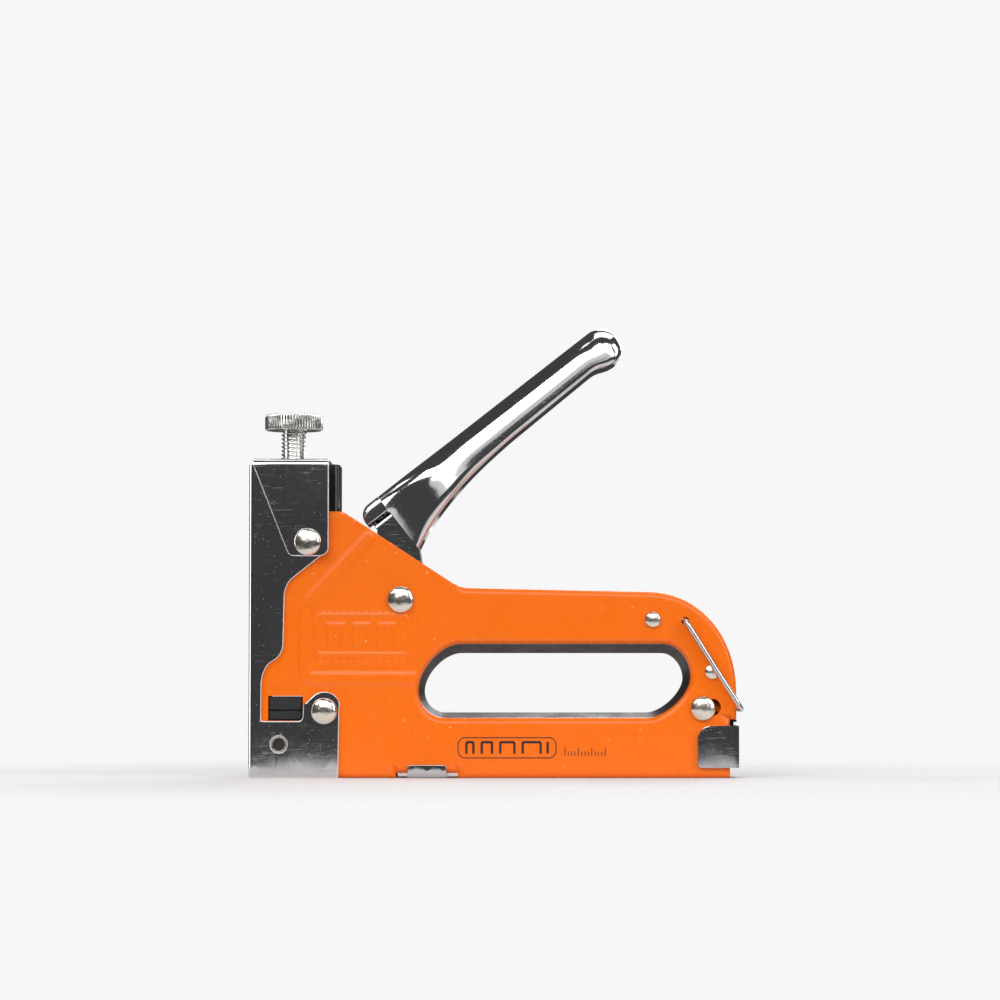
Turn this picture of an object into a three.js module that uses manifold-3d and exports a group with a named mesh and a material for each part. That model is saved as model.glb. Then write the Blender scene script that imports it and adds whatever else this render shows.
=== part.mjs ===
// Hand tacker (staple gun). Millimetres, +X from the nose to the rear, +Y across, +Z up.
// The tool stands on its sole at z = 0. Until the last lines centre it, x = 0 is the front face of the nose.
import * as THREE from 'three';
import { mergeVertices } from 'three/addons/utils/BufferGeometryUtils.js';
import Module from 'manifold-3d';

const wasm = await Module();
wasm.setup();

// ---- clearances -------------------------------------------------------------------------------------
const sheetGap = 0.1;      // between pressed sheets that lie on each other
const shankGap = 0.2;      // between a rivet's shank and its hole
const runGap = 0.3;        // between a moving piece and its guide
const seamGap = 0.15;      // from the middle plane to each half shell's rim
const past = 2;            // how far a cutting solid runs past the face it opens

// ---- helpers ----------------------------------------------------------------------------------------
const radians = THREE.MathUtils.degToRad;

// A closed three.js geometry as a manifold solid.
function solid(geometry) {
  geometry.deleteAttribute('normal');
  geometry.deleteAttribute('uv');
  const merged = mergeVertices(geometry, 1e-4);
  return new wasm.Manifold(new wasm.Mesh({
    numProp: 3,
    vertProperties: new Float32Array(merged.attributes.position.array),
    triVerts: new Uint32Array(merged.index.array),
  }));
}

// A manifold solid as a three.js geometry.
function geometryOf(body) {
  const mesh = body.getMesh();
  const geometry = new THREE.BufferGeometry();
  geometry.setAttribute('position', new THREE.BufferAttribute(new Float32Array(mesh.vertProperties), 3));
  geometry.setIndex(new THREE.BufferAttribute(new Uint32Array(mesh.triVerts), 1));
  return geometry;
}

// A side outline (x, z) as a plate between two values of y.
function plateGeometry(outline, yLow, yHigh) {
  const corners = (points) => points.map(([x, z]) => new THREE.Vector2(x, z));
  const shape = outline instanceof THREE.Shape ? outline : new THREE.Shape(corners(outline));
  const depth = yHigh - yLow;
  const geometry = new THREE.ExtrudeGeometry(shape, { depth, bevelEnabled: false, curveSegments: 6 });
  return geometry.rotateX(Math.PI / 2).translate(0, yHigh, 0);
}
const plate = (outline, yLow, yHigh) => solid(plateGeometry(outline, yLow, yHigh));

function boxGeometry([x0, x1], [y0, y1], [z0, z1]) {
  const geometry = new THREE.BoxGeometry(x1 - x0, y1 - y0, z1 - z0);
  return geometry.translate((x0 + x1) / 2, (y0 + y1) / 2, (z0 + z1) / 2);
}
const box = (xs, ys, zs) => solid(boxGeometry(xs, ys, zs));

// A round bar across the tool (along Y) at side position (x, z).
function crossBar(x, z, radius, yLow, yHigh, sides = 20) {
  const geometry = new THREE.CylinderGeometry(radius, radius, yHigh - yLow, sides);
  return solid(geometry.translate(x, (yLow + yHigh) / 2, z));
}

// A side outline moved outward (or inward when distance is negative) by the same distance all round.
function offsetOutline(points, distance) {
  const count = points.length;
  let area = 0;
  points.forEach(([x, z], i) => {
    const [nextX, nextZ] = points[(i + 1) % count];
    area += x * nextZ - nextX * z;
  });
  const side = Math.sign(area) * distance;
  const normal = ([ax, az], [bx, bz]) => {
    const length = Math.hypot(bx - ax, bz - az);
    return [(bz - az) / length, (ax - bx) / length];
  };
  return points.map((point, i) => {
    const before = normal(points[(i + count - 1) % count], point);
    const after = normal(point, points[(i + 1) % count]);
    const scale = side / (1 + before[0] * after[0] + before[1] * after[1]);
    return [point[0] + (before[0] + after[0]) * scale, point[1] + (before[1] + after[1]) * scale];
  });
}

const outlinePoints = (shape, divisions) => {
  const points = shape.getPoints(divisions).map((point) => [point.x, point.y]);
  const [firstX, firstZ] = points[0];
  const [lastX, lastZ] = points[points.length - 1];
  return Math.hypot(firstX - lastX, firstZ - lastZ) < 1e-6 ? points.slice(0, -1) : points;
};

// A corner of an outline as a cubic curve: fullness 0.55 is round, less is flatter.
function curveCorner(shape, cornerX, cornerZ, endX, endZ, fullness = 0.55) {
  const from = shape.currentPoint;
  shape.bezierCurveTo(
    from.x + (cornerX - from.x) * fullness, from.y + (cornerZ - from.y) * fullness,
    endX + (cornerX - endX) * fullness, endZ + (cornerZ - endZ) * fullness,
    endX, endZ,
  );
}

// A link between two circles, the shape of a lever arm.
function linkOutline([ax, az], radiusA, [bx, bz], radiusB) {
  const towards = Math.atan2(bz - az, bx - ax);
  const spread = Math.acos((radiusA - radiusB) / Math.hypot(bx - ax, bz - az));
  const shape = new THREE.Shape();
  shape.absarc(ax, az, radiusA, towards + spread, towards - spread + 2 * Math.PI, false);
  shape.absarc(bx, bz, radiusB, towards - spread, towards + spread, false);
  return shape;
}

// A bar of round section along a three.js curve.
function wireGeometry(path, radius, steps, sides) {
  const section = new THREE.Shape();
  for (let i = 0; i < sides; i += 1) {
    const angle = (2 * Math.PI * i) / sides;
    const [x, y] = [radius * Math.cos(angle), radius * Math.sin(angle)];
    if (i === 0) section.moveTo(x, y);
    else section.lineTo(x, y);
  }
  return new THREE.ExtrudeGeometry(section, { steps, extrudePath: path, bevelEnabled: false });
}

// A helix about an axis, for the coil springs.
class Coil extends THREE.Curve {
  constructor(start, axis, radius, length, turns) {
    super();
    Object.assign(this, { start, axis, radius, length, turns });
  }

  getPoint(t) {
    const angle = 2 * Math.PI * this.turns * t;
    const [a, b] = [this.radius * Math.cos(angle), this.radius * Math.sin(angle)];
    const along = this.length * t;
    const [x, y, z] = this.start;
    if (this.axis === 'z') return new THREE.Vector3(x + a, y + b, z + along);
    return new THREE.Vector3(x + along, y + a, z + b);
  }
}

const meshes = new THREE.Group();
const lever = new THREE.Group();
const paints = {
  orange: { color: 0xff6a12, roughness: 0.28, metalness: 0.0 },
  chrome: { color: 0xc8c9cc, roughness: 0.12, metalness: 1.0 },
  steel: { color: 0xa9a9a6, roughness: 0.32, metalness: 1.0 },
  zinc: { color: 0xbdb8ac, roughness: 0.28, metalness: 1.0 },
  black: { color: 0x17181a, roughness: 0.3, metalness: 0.2 },
  rubber: { color: 0x151515, roughness: 0.75, metalness: 0.0 },
};

function addPiece(name, shape, paint, parent = meshes) {
  const geometry = shape.isBufferGeometry ? shape : geometryOf(shape);
  const mesh = new THREE.Mesh(geometry, new THREE.MeshStandardMaterial(paints[paint]));
  mesh.name = name;
  parent.add(mesh);
  return mesh;
}

// ---- widths, from the inside out --------------------------------------------------------------------
const halfWidth = 11;              // outside of the half shells
const shellSheet = 1.2;
const frameSheet = 1.2;
const noseSheet = 1.1;
const bracketSheet = 1.4;
const shellInner = halfWidth - shellSheet;
const frameHalf = shellInner - 2 * sheetGap;
const frameInner = frameHalf - frameSheet;
const noseInner = halfWidth + sheetGap;
const noseHalf = noseInner + noseSheet;
const bracketInner = noseHalf + sheetGap;
const bracketHalf = bracketInner + bracketSheet;

// ---- body shells ------------------------------------------------------------------------------------
const bodyLength = 152.7;
const towerTop = 83.4;
const slotFront = { x: 32.8, z: 81.2 };
const slotChamfer = 3.5;
const gripFront = { x: 66, z: 59.5 };
const gripRearTop = 57.7;
const gripRearX = bodyLength - 27;
const rearBulgeZ = 26.7;
const rearStep = { depth: 2, z: 18.2 };
const shellFront = noseSheet + 0.3;
const shellRear = bodyLength - rearStep.depth;

function bodyShape() {
  const shape = new THREE.Shape();
  shape.moveTo(shellFront, 0);
  shape.lineTo(shellRear, 0);
  shape.lineTo(shellRear, rearStep.z);
  shape.lineTo(bodyLength, rearStep.z);
  shape.lineTo(bodyLength, rearBulgeZ);
  shape.bezierCurveTo(bodyLength, 43, bodyLength - 9.4, gripRearTop, gripRearX, gripRearTop);
  shape.lineTo(gripFront.x, gripFront.z);
  shape.lineTo(slotFront.x, slotFront.z);
  shape.lineTo(slotFront.x - slotChamfer, towerTop);
  shape.lineTo(shellFront, towerTop);
  return shape;
}

const handHole = { front: 53.2, rear: bodyLength - 14.4, low: 18.8, high: 41.9, frontZ: 27.3, rearZ: 31.5 };

function handHoleShape() {
  const { front, rear, low, high, frontZ, rearZ } = handHole;
  const shape = new THREE.Shape();
  shape.moveTo(front + 13.3, high);
  curveCorner(shape, front, high, front, frontZ, 0.47);
  curveCorner(shape, front, low, front + 8.3, low);
  shape.lineTo(rear - 13.5, low);
  curveCorner(shape, rear, low, rear, rearZ, 0.42);
  curveCorner(shape, rear, high, rear - 8.8, high);
  return shape;
}

// ---- rivets and pins through the body ---------------------------------------------------------------
const bracketRivet = { x: 18.5, z: 73.8, head: 4.25, rise: 2, shank: 2 };
const pivot = { x: 47.6, z: 55.8, head: 4.25, rise: 2.1, shank: 3 };
const noseRivet = { x: 23.7, z: 20.9, head: 4.1, rise: 2, shank: 2 };
const rearRivet = { x: bodyLength - 10.5, z: 21.7, head: 3.9, rise: 1.9, shank: 1.8 };
const gripRivet = { x: bodyLength - 26.1, z: 49.5, head: 2.5, rise: 1.2, shank: 1.3 };
const tailRivet = { x: bodyLength - 7.6, z: 33.2, head: 2.4, rise: 1.2, shank: 1.3 };
const rollPin = { x: 9.6, z: 10.5, radius: 2.5, wall: 0.6, depth: 4.2 };
const keyHole = { x: bodyLength - 7.5, z: 22.1, radius: 2.6 };

// A rivet with a low dome at each end given: faces are the two y planes that the heads lie on.
function rivet({ x, z, head, rise, shank }, yLow, yHigh, domes = [true, true]) {
  const profile = [];
  const dome = (base, direction) => {
    for (let i = 0; i <= 3; i += 1) {
      const angle = (Math.PI / 2) * (i / 3);
      profile.push([head * Math.sin(angle), base + direction * (0.25 + (rise - 0.25) * Math.cos(angle))]);
    }
    profile.push([head, base]);
  };
  if (domes[0]) dome(yLow, -1);
  else profile.push([0, yLow]);
  profile.push([shank, yLow], [shank, yHigh]);
  if (domes[1]) {
    const lower = profile.splice(0);
    dome(yHigh, 1);
    profile.reverse();
    profile.unshift(...lower);
  } else profile.push([0, yHigh]);
  const points = profile.map(([radius, along]) => new THREE.Vector2(radius, along));
  return solid(new THREE.LatheGeometry(points, 16)).translate([x, 0, z]);
}
const shankHole = ({ x, z, shank }) => (
  crossBar(x, z, shank + shankGap, -2 * bracketHalf, 2 * bracketHalf, 16)
);

// ---- magazine ---------------------------------------------------------------------------------------
const channel = {
  front: shellFront + 1.8, rear: shellRear - 11, half: 7.6, bottom: 1.5, top: 17, sheet: 0.9,
};
const channelXs = [channel.front, channel.rear];
const strap = { front: 49.8, length: 12.2, sheet: 1.1, height: 4.1, notchFront: 46.2, notchRear: 65.5 };
const strapSide = halfWidth + sheetGap;

addPiece('magazine_channel', box(channelXs, [-channel.half, channel.half], [channel.bottom, channel.top])
  .subtract(box(
    [channel.front - past, channel.rear + past],
    [-channel.half + channel.sheet, channel.half - channel.sheet],
    [channel.bottom + channel.sheet, channel.top - channel.sheet],
  )), 'steel');

addPiece('magazine_strap', box(
  [strap.front, strap.front + strap.length],
  [-strapSide - strap.sheet, strapSide + strap.sheet],
  [0, strap.height],
).subtract(box(
  [strap.front - past, strap.front + strap.length + past],
  [-strapSide, strapSide],
  [strap.sheet, strap.height + past],
)), 'chrome');

// ---- bumper that the plunger lands on ---------------------------------------------------------------
const bumper = { front: 6.4, rear: 16.8, low: 18.1, split: 21.1, high: 25.4 };
const bumperHalf = halfWidth - 2 * sheetGap;
const bumperXs = [bumper.front, bumper.rear];
addPiece('bumper_seat',
  box(bumperXs, [-bumperHalf, bumperHalf], [bumper.low, bumper.split - sheetGap]), 'black');
addPiece('bumper_pad', box(bumperXs, [-bumperHalf, bumperHalf], [bumper.split, bumper.high]), 'rubber');

// ---- lock bail --------------------------------------------------------------------------------------
const bailWire = 0.85;
const bailPivot = { x: bodyLength - 16, z: 49.1, hole: 1.2 };
const bailRest = { x: bodyLength + bailWire + 0.45, z: 21.5 };
const bailHalf = halfWidth + tailRivet.rise + bailWire + runGap;

// ---- the two half shells ----------------------------------------------------------------------------
function bodyShell(side) {
  const between = (inner, outer) => (side > 0 ? [inner, outer] : [-outer, -inner]);
  const outline = outlinePoints(bodyShape(), 10);
  const hole = outlinePoints(handHoleShape(), 7);
  const cavityYs = between(-past, shellInner);
  const mouth = plate([
    [-past, -past], [-past, towerTop + 4], [slotFront.x + 4, towerTop + 4],
    [gripFront.x + 3, gripFront.z + 5], [gripFront.x - 1.5, gripFront.z - 3],
    [slotFront.x, slotFront.z - 20], [shellFront + 4, 30], [shellFront + 4, -past],
  ], ...cavityYs);
  const cavity = plate(offsetOutline(outline, -shellSheet), ...cavityYs)
    .add(mouth)
    .subtract(plate(offsetOutline(hole, shellSheet), ...between(-2 * past, halfWidth)));
  const tunnel = box(
    [-past, bodyLength + past],
    between(-past, channel.half + runGap),
    [-past, channel.top + runGap],
  );
  const across = between(-past, halfWidth + past);
  const notch = box([strap.notchFront, strap.notchRear], across, [-past, strap.sheet + 0.5]);
  const window = box(
    [bumper.front - sheetGap, bumper.rear + sheetGap],
    across,
    [bumper.low - sheetGap, bumper.high + sheetGap],
  );
  let shell = plate(outline, ...between(seamGap, halfWidth))
    .subtract(cavity)
    .subtract(plate(hole, ...across))
    .subtract(tunnel)
    .subtract(notch)
    .subtract(window)
    .subtract(crossBar(bailPivot.x, bailPivot.z, bailPivot.hole, ...across, 16))
    .subtract(crossBar(keyHole.x, keyHole.z, keyHole.radius, ...across, 16))
    .subtract(crossBar(rollPin.x, rollPin.z, rollPin.radius + sheetGap, ...across));
  for (const pin of [bracketRivet, pivot, noseRivet, rearRivet, gripRivet, tailRivet]) {
    shell = shell.subtract(shankHole(pin));
  }
  return shell;
}
addPiece('body_shell_left', bodyShell(-1), 'orange');
addPiece('body_shell_right', bodyShell(1), 'orange');

// ---- nose cover and adjuster bracket ----------------------------------------------------------------
const bracket = { front: 1.2, rear: 25.1, top: 99.9, footFront: 12.1, footZ: 69.3 };
const noseTop = bracket.top - bracketSheet - 2 * sheetGap;
const noseFlange = { rear: 28.2, upperRear: 23 };

function noseShape() {
  const shape = new THREE.Shape();
  shape.moveTo(0, 0);
  shape.lineTo(noseFlange.rear, 0);
  shape.lineTo(noseFlange.rear + 0.3, 21);
  shape.absarc(noseRivet.x, noseRivet.z + 1, 5.1, 0.2, 2.4, false);
  shape.lineTo(bumper.rear + 0.2, 23);
  shape.lineTo(bumper.rear + 0.2, bumper.low - 0.3);
  shape.lineTo(4.1, bumper.low - 0.3);
  shape.lineTo(4.2, 30);
  shape.quadraticCurveTo(4.6, 33, 8.6, 36.7);
  shape.quadraticCurveTo(10.9, 38.5, 10.9, 41);
  shape.lineTo(11.3, 57.3);
  shape.quadraticCurveTo(11.4, 60.5, 13.7, 62.3);
  shape.lineTo(noseFlange.upperRear, bracket.footZ + 0.4);
  shape.lineTo(noseFlange.upperRear, noseTop);
  shape.lineTo(0, noseTop);
  return shape;
}
addPiece('nose_cover', plate(noseShape(), -noseHalf, noseHalf)
  .subtract(box([noseSheet, noseFlange.rear * 2], [-noseInner, noseInner], [-past, noseTop + past]))
  .subtract(shankHole(bracketRivet))
  .subtract(shankHole(noseRivet))
  .subtract(crossBar(rollPin.x, rollPin.z, rollPin.radius + sheetGap, -bracketHalf, bracketHalf)), 'chrome');

const screw = { x: 13.4, radius: 4, pitch: 1.25, bottom: 90.2 };
const screwHole = screw.radius + 0.35;
const upright = (x, radius, zLow, zHigh, sides = 32) => solid(
  new THREE.CylinderGeometry(radius, radius, zHigh - zLow, sides)
    .rotateX(Math.PI / 2).translate(x, 0, (zLow + zHigh) / 2),
);

addPiece('adjuster_bracket', plate([
  [bracket.front, bracket.top], [bracket.front, bracket.top - bracketSheet],
  [bracket.footFront, bracket.footZ + 1.3], [bracket.footFront + 1.7, bracket.footZ],
  [bracket.rear - 2.5, bracket.footZ], [bracket.rear, bracket.footZ + 1.8],
  [bracket.rear, bracket.top],
], -bracketHalf, bracketHalf)
  .subtract(box([-past, bracket.rear + past], [-bracketInner, bracketInner], [0, bracket.top - bracketSheet]))
  .subtract(upright(screw.x, screwHole, bracket.top - 2 * bracketSheet, bracket.top + past))
  .subtract(shankHole(bracketRivet)), 'chrome');

const nut = { acrossFlats: 13, height: 6.3 };
const nutTop = bracket.top - bracketSheet - sheetGap;
const nutBody = upright(screw.x, nut.acrossFlats / Math.sqrt(3), nutTop - nut.height, nutTop, 6)
  .subtract(upright(screw.x, screwHole, nutTop - nut.height - past, nutTop + past));
addPiece('bracket_nut', nutBody, 'steel');

// ---- inner frame that guides the plunger ------------------------------------------------------------
const frame = { front: 3.3, rear: 28.3, low: 27, high: nutTop - sheetGap };
const leverWindow = { low: 38, high: 72 };
const plungerHalf = frameInner - runGap;
const towerCheek = 2.5;
const lifterHalf = plungerHalf - towerCheek - runGap;
addPiece('inner_frame', box([frame.front, frame.rear], [-frameHalf, frameHalf], [frame.low, frame.high])
  .subtract(box(
    [-past, frame.rear - frameSheet], [-frameInner, frameInner], [frame.low - past, frame.high + past]))
  .subtract(box(
    [frame.rear - 2 * frameSheet, frame.rear + past],
    [-lifterHalf - runGap, lifterHalf + runGap],
    [leverWindow.low, leverWindow.high],
  ))
  .subtract(shankHole(bracketRivet)), 'black');

// ---- rivets -----------------------------------------------------------------------------------------
const shortShankEnd = frameInner + sheetGap;
const onBracket = bracketHalf + sheetGap;
addPiece('bracket_rivet_left', rivet(bracketRivet, -onBracket, -shortShankEnd, [true, false]), 'zinc');
addPiece('bracket_rivet_right', rivet(bracketRivet, shortShankEnd, onBracket, [false, true]), 'zinc');
const onShell = halfWidth + sheetGap;
const onNose = noseHalf + sheetGap;
addPiece('handle_pivot_rivet', rivet(pivot, -onShell, onShell), 'zinc');
addPiece('nose_rivet', rivet(noseRivet, -onNose, onNose), 'zinc');
addPiece('rear_rivet', rivet(rearRivet, -onShell, onShell), 'zinc');
addPiece('grip_rivet', rivet(gripRivet, -onShell, onShell), 'zinc');
addPiece('tail_rivet', rivet(tailRivet, -onShell, onShell), 'zinc');

// A roll pin is a rolled tube with an open slit.
function rollPinSolid(yLow, yHigh) {
  const slit = box(
    [rollPin.x - rollPin.radius - past, rollPin.x], [yLow - past, yHigh + past],
    [rollPin.z - 0.3, rollPin.z + 0.3]);
  return crossBar(rollPin.x, rollPin.z, rollPin.radius - sheetGap, yLow, yHigh)
    .subtract(crossBar(rollPin.x, rollPin.z, rollPin.radius - rollPin.wall, yLow - past, yHigh + past))
    .subtract(slit);
}
addPiece('roll_pin_left', rollPinSolid(-noseHalf - 0.2, -noseHalf - 0.2 + rollPin.depth), 'steel');
addPiece('roll_pin_right', rollPinSolid(noseHalf + 0.2 - rollPin.depth, noseHalf + 0.2), 'steel');

// ---- handle lever, lift arm and their pivot ---------------------------------------------------------
// These are drawn in the lever's own frame: origin on the pivot, x along the lever, z across it.
const leverAngle = 38;
const leverSheet = 1.3;
const palmHalf = bailHalf - bailWire - runGap - 0.2;
const palm = { start: 14.2, length: 104.4, top: 30.3, lipLow: 17.4, lipHigh: 19.4, crookZ: 8.9 };
const rootHalf = lifterHalf + sheetGap + leverSheet;
const root = { top: 24.4, hub: 8.5 };

function palmShape() {
  const shape = new THREE.Shape();
  shape.moveTo(palm.start, palm.crookZ);
  shape.quadraticCurveTo(30, 17.4, 60, 18.6);
  shape.lineTo(palm.length - 12.4, palm.lipHigh);
  shape.quadraticCurveTo(palm.length - 8.5, palm.lipLow, palm.length - 5, palm.lipLow);
  curveCorner(shape, palm.length, palm.lipLow, palm.length, palm.lipLow + 5);
  curveCorner(shape, palm.length, palm.top, palm.length - 6, palm.top);
  shape.lineTo(palm.start + 2, palm.top);
  shape.lineTo(palm.start, palm.top - 2);
  return shape;
}

function palmHollow() {
  const shape = new THREE.Shape();
  const end = palm.length - leverSheet;
  shape.moveTo(palm.start + leverSheet, -past);
  shape.lineTo(end, -past);
  shape.lineTo(end, palm.lipLow + 5);
  curveCorner(shape, end, palm.top - leverSheet, end - 5, palm.top - leverSheet);
  shape.lineTo(palm.start + leverSheet, palm.top - leverSheet);
  return shape;
}

function rootShape() {
  const shape = new THREE.Shape();
  shape.moveTo(palm.start + leverSheet / 2, palm.crookZ + 0.3);
  shape.lineTo(palm.start + leverSheet / 2, root.top);
  shape.lineTo(8, root.top);
  shape.absarc(0, 0, root.hub, radians(165), radians(340), false);
  return shape;
}

const anchor = { x: 1, z: 13, head: 2.6, rise: 0.8, shank: 1.5 };
const rootHollow = [
  [-root.hub - past, -root.hub - past], [palm.start - leverSheet, -root.hub - past],
  [palm.start - leverSheet, root.top - leverSheet], [-root.hub - past, root.top - leverSheet],
];
const leverSolid = plate(palmShape(), -palmHalf, palmHalf)
  .subtract(plate(palmHollow(), -palmHalf + leverSheet, palmHalf - leverSheet))
  .add(plate(rootShape(), -rootHalf, rootHalf)
    .subtract(plate(rootHollow, -rootHalf + leverSheet, rootHalf - leverSheet)))
  .subtract(shankHole({ ...pivot, x: 0, z: 0 }))
  .subtract(shankHole(anchor));
addPiece('handle_lever', leverSolid, 'chrome', lever);

const lift = { reach: 25.6, droop: 25, tip: 2.1, hub: 4.6, sheet: 1.2, play: 0.8 };
const liftDirection = radians(180 + lift.droop - leverAngle);
const liftTip = [lift.reach * Math.cos(liftDirection), lift.reach * Math.sin(liftDirection)];
const armInner = lifterHalf - lift.sheet;
const hubRing = solid(new THREE.CylinderGeometry(lift.hub + past, lift.hub + past, 2 * armInner, 24));
const tipward = [liftTip[0] * 0.8, liftTip[1] * 0.8];
const lifterSolid = plate(linkOutline([0, 0], lift.hub, liftTip, lift.tip), -lifterHalf, lifterHalf)
  .add(plate(linkOutline([0, 0], lift.hub, [anchor.x, anchor.z], 3.2), -lifterHalf, lifterHalf))
  .subtract(plate(linkOutline([0, 0], lift.hub + past, tipward, 4), -armInner, armInner))
  .subtract(plate(linkOutline([0, 0], lift.hub + past, [anchor.x, anchor.z], 5.2), -armInner, armInner))
  .subtract(hubRing)
  .subtract(shankHole({ ...pivot, x: 0, z: 0 }))
  .subtract(shankHole(anchor));
addPiece('lift_arm', lifterSolid, 'steel', lever);
addPiece('lift_arm_rivet', rivet(anchor, -rootHalf - sheetGap, rootHalf + sheetGap), 'zinc', lever);

lever.position.set(pivot.x, 0, pivot.z);
lever.rotation.y = -radians(leverAngle);
meshes.add(lever);

function pivotSpacer(yLow, yHigh) {
  return crossBar(pivot.x, pivot.z, pivot.shank + 2.2, yLow, yHigh)
    .subtract(crossBar(pivot.x, pivot.z, pivot.shank + shankGap, yLow - past, yHigh + past));
}
addPiece('pivot_spacer_left', pivotSpacer(-shellInner + sheetGap, -rootHalf - sheetGap), 'steel');
addPiece('pivot_spacer_right', pivotSpacer(rootHalf + sheetGap, shellInner - sheetGap), 'steel');

// The return spring is a torsion coil round the pivot with one leg on the frame and one under the lever.
const returnSpring = {
  wire: 0.6, radius: 4.7, turns: 3, half: 2.4, frameLeg: 27, leverLeg: 21, frameAngle: -51, leverAngle: 35,
};
class TorsionSpring extends THREE.Curve {
  getPoint(t) {
    const { radius, turns, half, frameLeg, leverLeg } = returnSpring;
    const from = radians(returnSpring.frameAngle);
    const to = radians(returnSpring.leverAngle) + 2 * Math.PI * turns;
    const coilLength = radius * (to - from);
    const along = t * (frameLeg + coilLength + leverLeg) - frameLeg;
    const angle = from + THREE.MathUtils.clamp(along / radius, 0, to - from);
    const beyond = along < 0 ? along : Math.max(0, along - coilLength);
    const y = -half + 2 * half * THREE.MathUtils.clamp(along / coilLength, 0, 1);
    return new THREE.Vector3(
      pivot.x + radius * Math.cos(angle) - beyond * Math.sin(angle),
      y,
      pivot.z + radius * Math.sin(angle) + beyond * Math.cos(angle),
    );
  }
}
addPiece('handle_return_spring', wireGeometry(new TorsionSpring(), returnSpring.wire, 56, 5), 'steel');

// ---- plunger and driver blade -----------------------------------------------------------------------
const tipAtRest = {
  x: pivot.x - lift.reach * Math.cos(radians(lift.droop)),
  z: pivot.z - lift.reach * Math.sin(radians(lift.droop)),
};
const plunger = {
  front: 2.95, towerFront: 20, rear: tipAtRest.x, low: bumper.high + 0.4, shelf: 34, towerTop: 52.5,
};
const blade = { front: noseSheet + 0.3, thickness: 1.2, half: 5.3, tip: 0.3, top: 33 };
const bladePin = { z: 30, radius: 1.5, end: 9 };
const along = (xLow, xHigh, z, radius, sides = 20) => solid(
  new THREE.CylinderGeometry(radius, radius, xHigh - xLow, sides)
    .rotateZ(Math.PI / 2).translate((xLow + xHigh) / 2, 0, z),
);
const plungerYs = [-plungerHalf, plungerHalf];
const plungerSolid = box([plunger.front, plunger.rear], plungerYs, [plunger.low, plunger.shelf])
  .add(box([plunger.towerFront, plunger.rear], plungerYs, [plunger.shelf - 1, plunger.towerTop]))
  .subtract(box(
    [plunger.towerFront - past, plunger.rear + past],
    [-lifterHalf - runGap, lifterHalf + runGap],
    [tipAtRest.z - lift.tip - lift.play, tipAtRest.z + lift.tip + lift.play],
  ))
  .subtract(along(blade.front, bladePin.end + runGap, bladePin.z, bladePin.radius + shankGap));
addPiece('plunger', plungerSolid, 'steel');
const bladeXs = [blade.front, blade.front + blade.thickness];
addPiece('driver_blade', box(bladeXs, [-blade.half, blade.half], [blade.tip, blade.top])
  .subtract(along(0, 5, bladePin.z, bladePin.radius + shankGap)), 'steel');
addPiece('blade_pin', along(blade.front, bladePin.end, bladePin.z, bladePin.radius), 'steel');

// ---- power adjuster: knob, screw, spring seat and main spring ---------------------------------------
const seat = { radius: 7.4, low: 87.4, high: screw.bottom - sheetGap, boss: 3.7, bossLow: 84 };
addPiece('spring_seat', upright(screw.x, seat.radius, seat.low, seat.high, 24)
  .add(upright(screw.x, seat.boss, seat.bossLow, seat.low + 1, 24)), 'steel');

const knob = { radius: 9.2, low: 109.5, high: 114.6, teeth: 60, depth: 0.35 };
const knobShape = new THREE.Shape();
for (let i = 0; i < 2 * knob.teeth; i += 1) {
  const angle = (Math.PI * i) / knob.teeth;
  const radius = i % 2 ? knob.radius : knob.radius - knob.depth;
  const [x, y] = [radius * Math.cos(angle), radius * Math.sin(angle)];
  if (i === 0) knobShape.moveTo(x, y);
  else knobShape.lineTo(x, y);
}
const knobDepth = { depth: knob.high - knob.low, bevelEnabled: false };
const knobGeometry = new THREE.ExtrudeGeometry(knobShape, knobDepth);
addPiece('adjuster_knob', solid(knobGeometry.translate(screw.x, 0, knob.low))
  .subtract(upright(screw.x, screw.radius + shankGap, knob.low - past, knob.high + past)), 'zinc');
addPiece('adjuster_screw', upright(screw.x, screw.radius, screw.bottom, knob.high - 0.4), 'zinc');

const mainSpring = { wire: 0.9, radius: 5.1, turns: 10 };
addPiece('main_spring', wireGeometry(new Coil(
  [screw.x, 0, plunger.shelf + mainSpring.wire + 0.3],
  'z',
  mainSpring.radius,
  seat.low - plunger.shelf - 2 * (mainSpring.wire + 0.3),
  mainSpring.turns,
), mainSpring.wire, 100, 5), 'steel');

// ---- lock bail --------------------------------------------------------------------------------------
// A wire bent at each given point with a small round.
function bentWire(points, bend) {
  const corners = points.map((point) => new THREE.Vector3(...point));
  const path = new THREE.CurvePath();
  let from = corners[0];
  for (let i = 1; i < corners.length - 1; i += 1) {
    const towardsBefore = corners[i - 1].clone().sub(corners[i]).setLength(bend).add(corners[i]);
    const towardsAfter = corners[i + 1].clone().sub(corners[i]).setLength(bend).add(corners[i]);
    path.add(new THREE.LineCurve3(from, towardsBefore));
    path.add(new THREE.QuadraticBezierCurve3(towardsBefore, corners[i], towardsAfter));
    from = towardsAfter;
  }
  path.add(new THREE.LineCurve3(from, corners[corners.length - 1]));
  return path;
}
const bailEnd = shellInner - 1;
addPiece('lock_bail', wireGeometry(bentWire([
  [bailPivot.x, -bailEnd, bailPivot.z], [bailPivot.x, -bailHalf, bailPivot.z],
  [bailRest.x, -bailHalf, bailRest.z], [bailRest.x, bailHalf, bailRest.z],
  [bailPivot.x, bailHalf, bailPivot.z], [bailPivot.x, bailEnd, bailPivot.z],
], 1.8), bailWire, 64, 6), 'steel');

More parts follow.
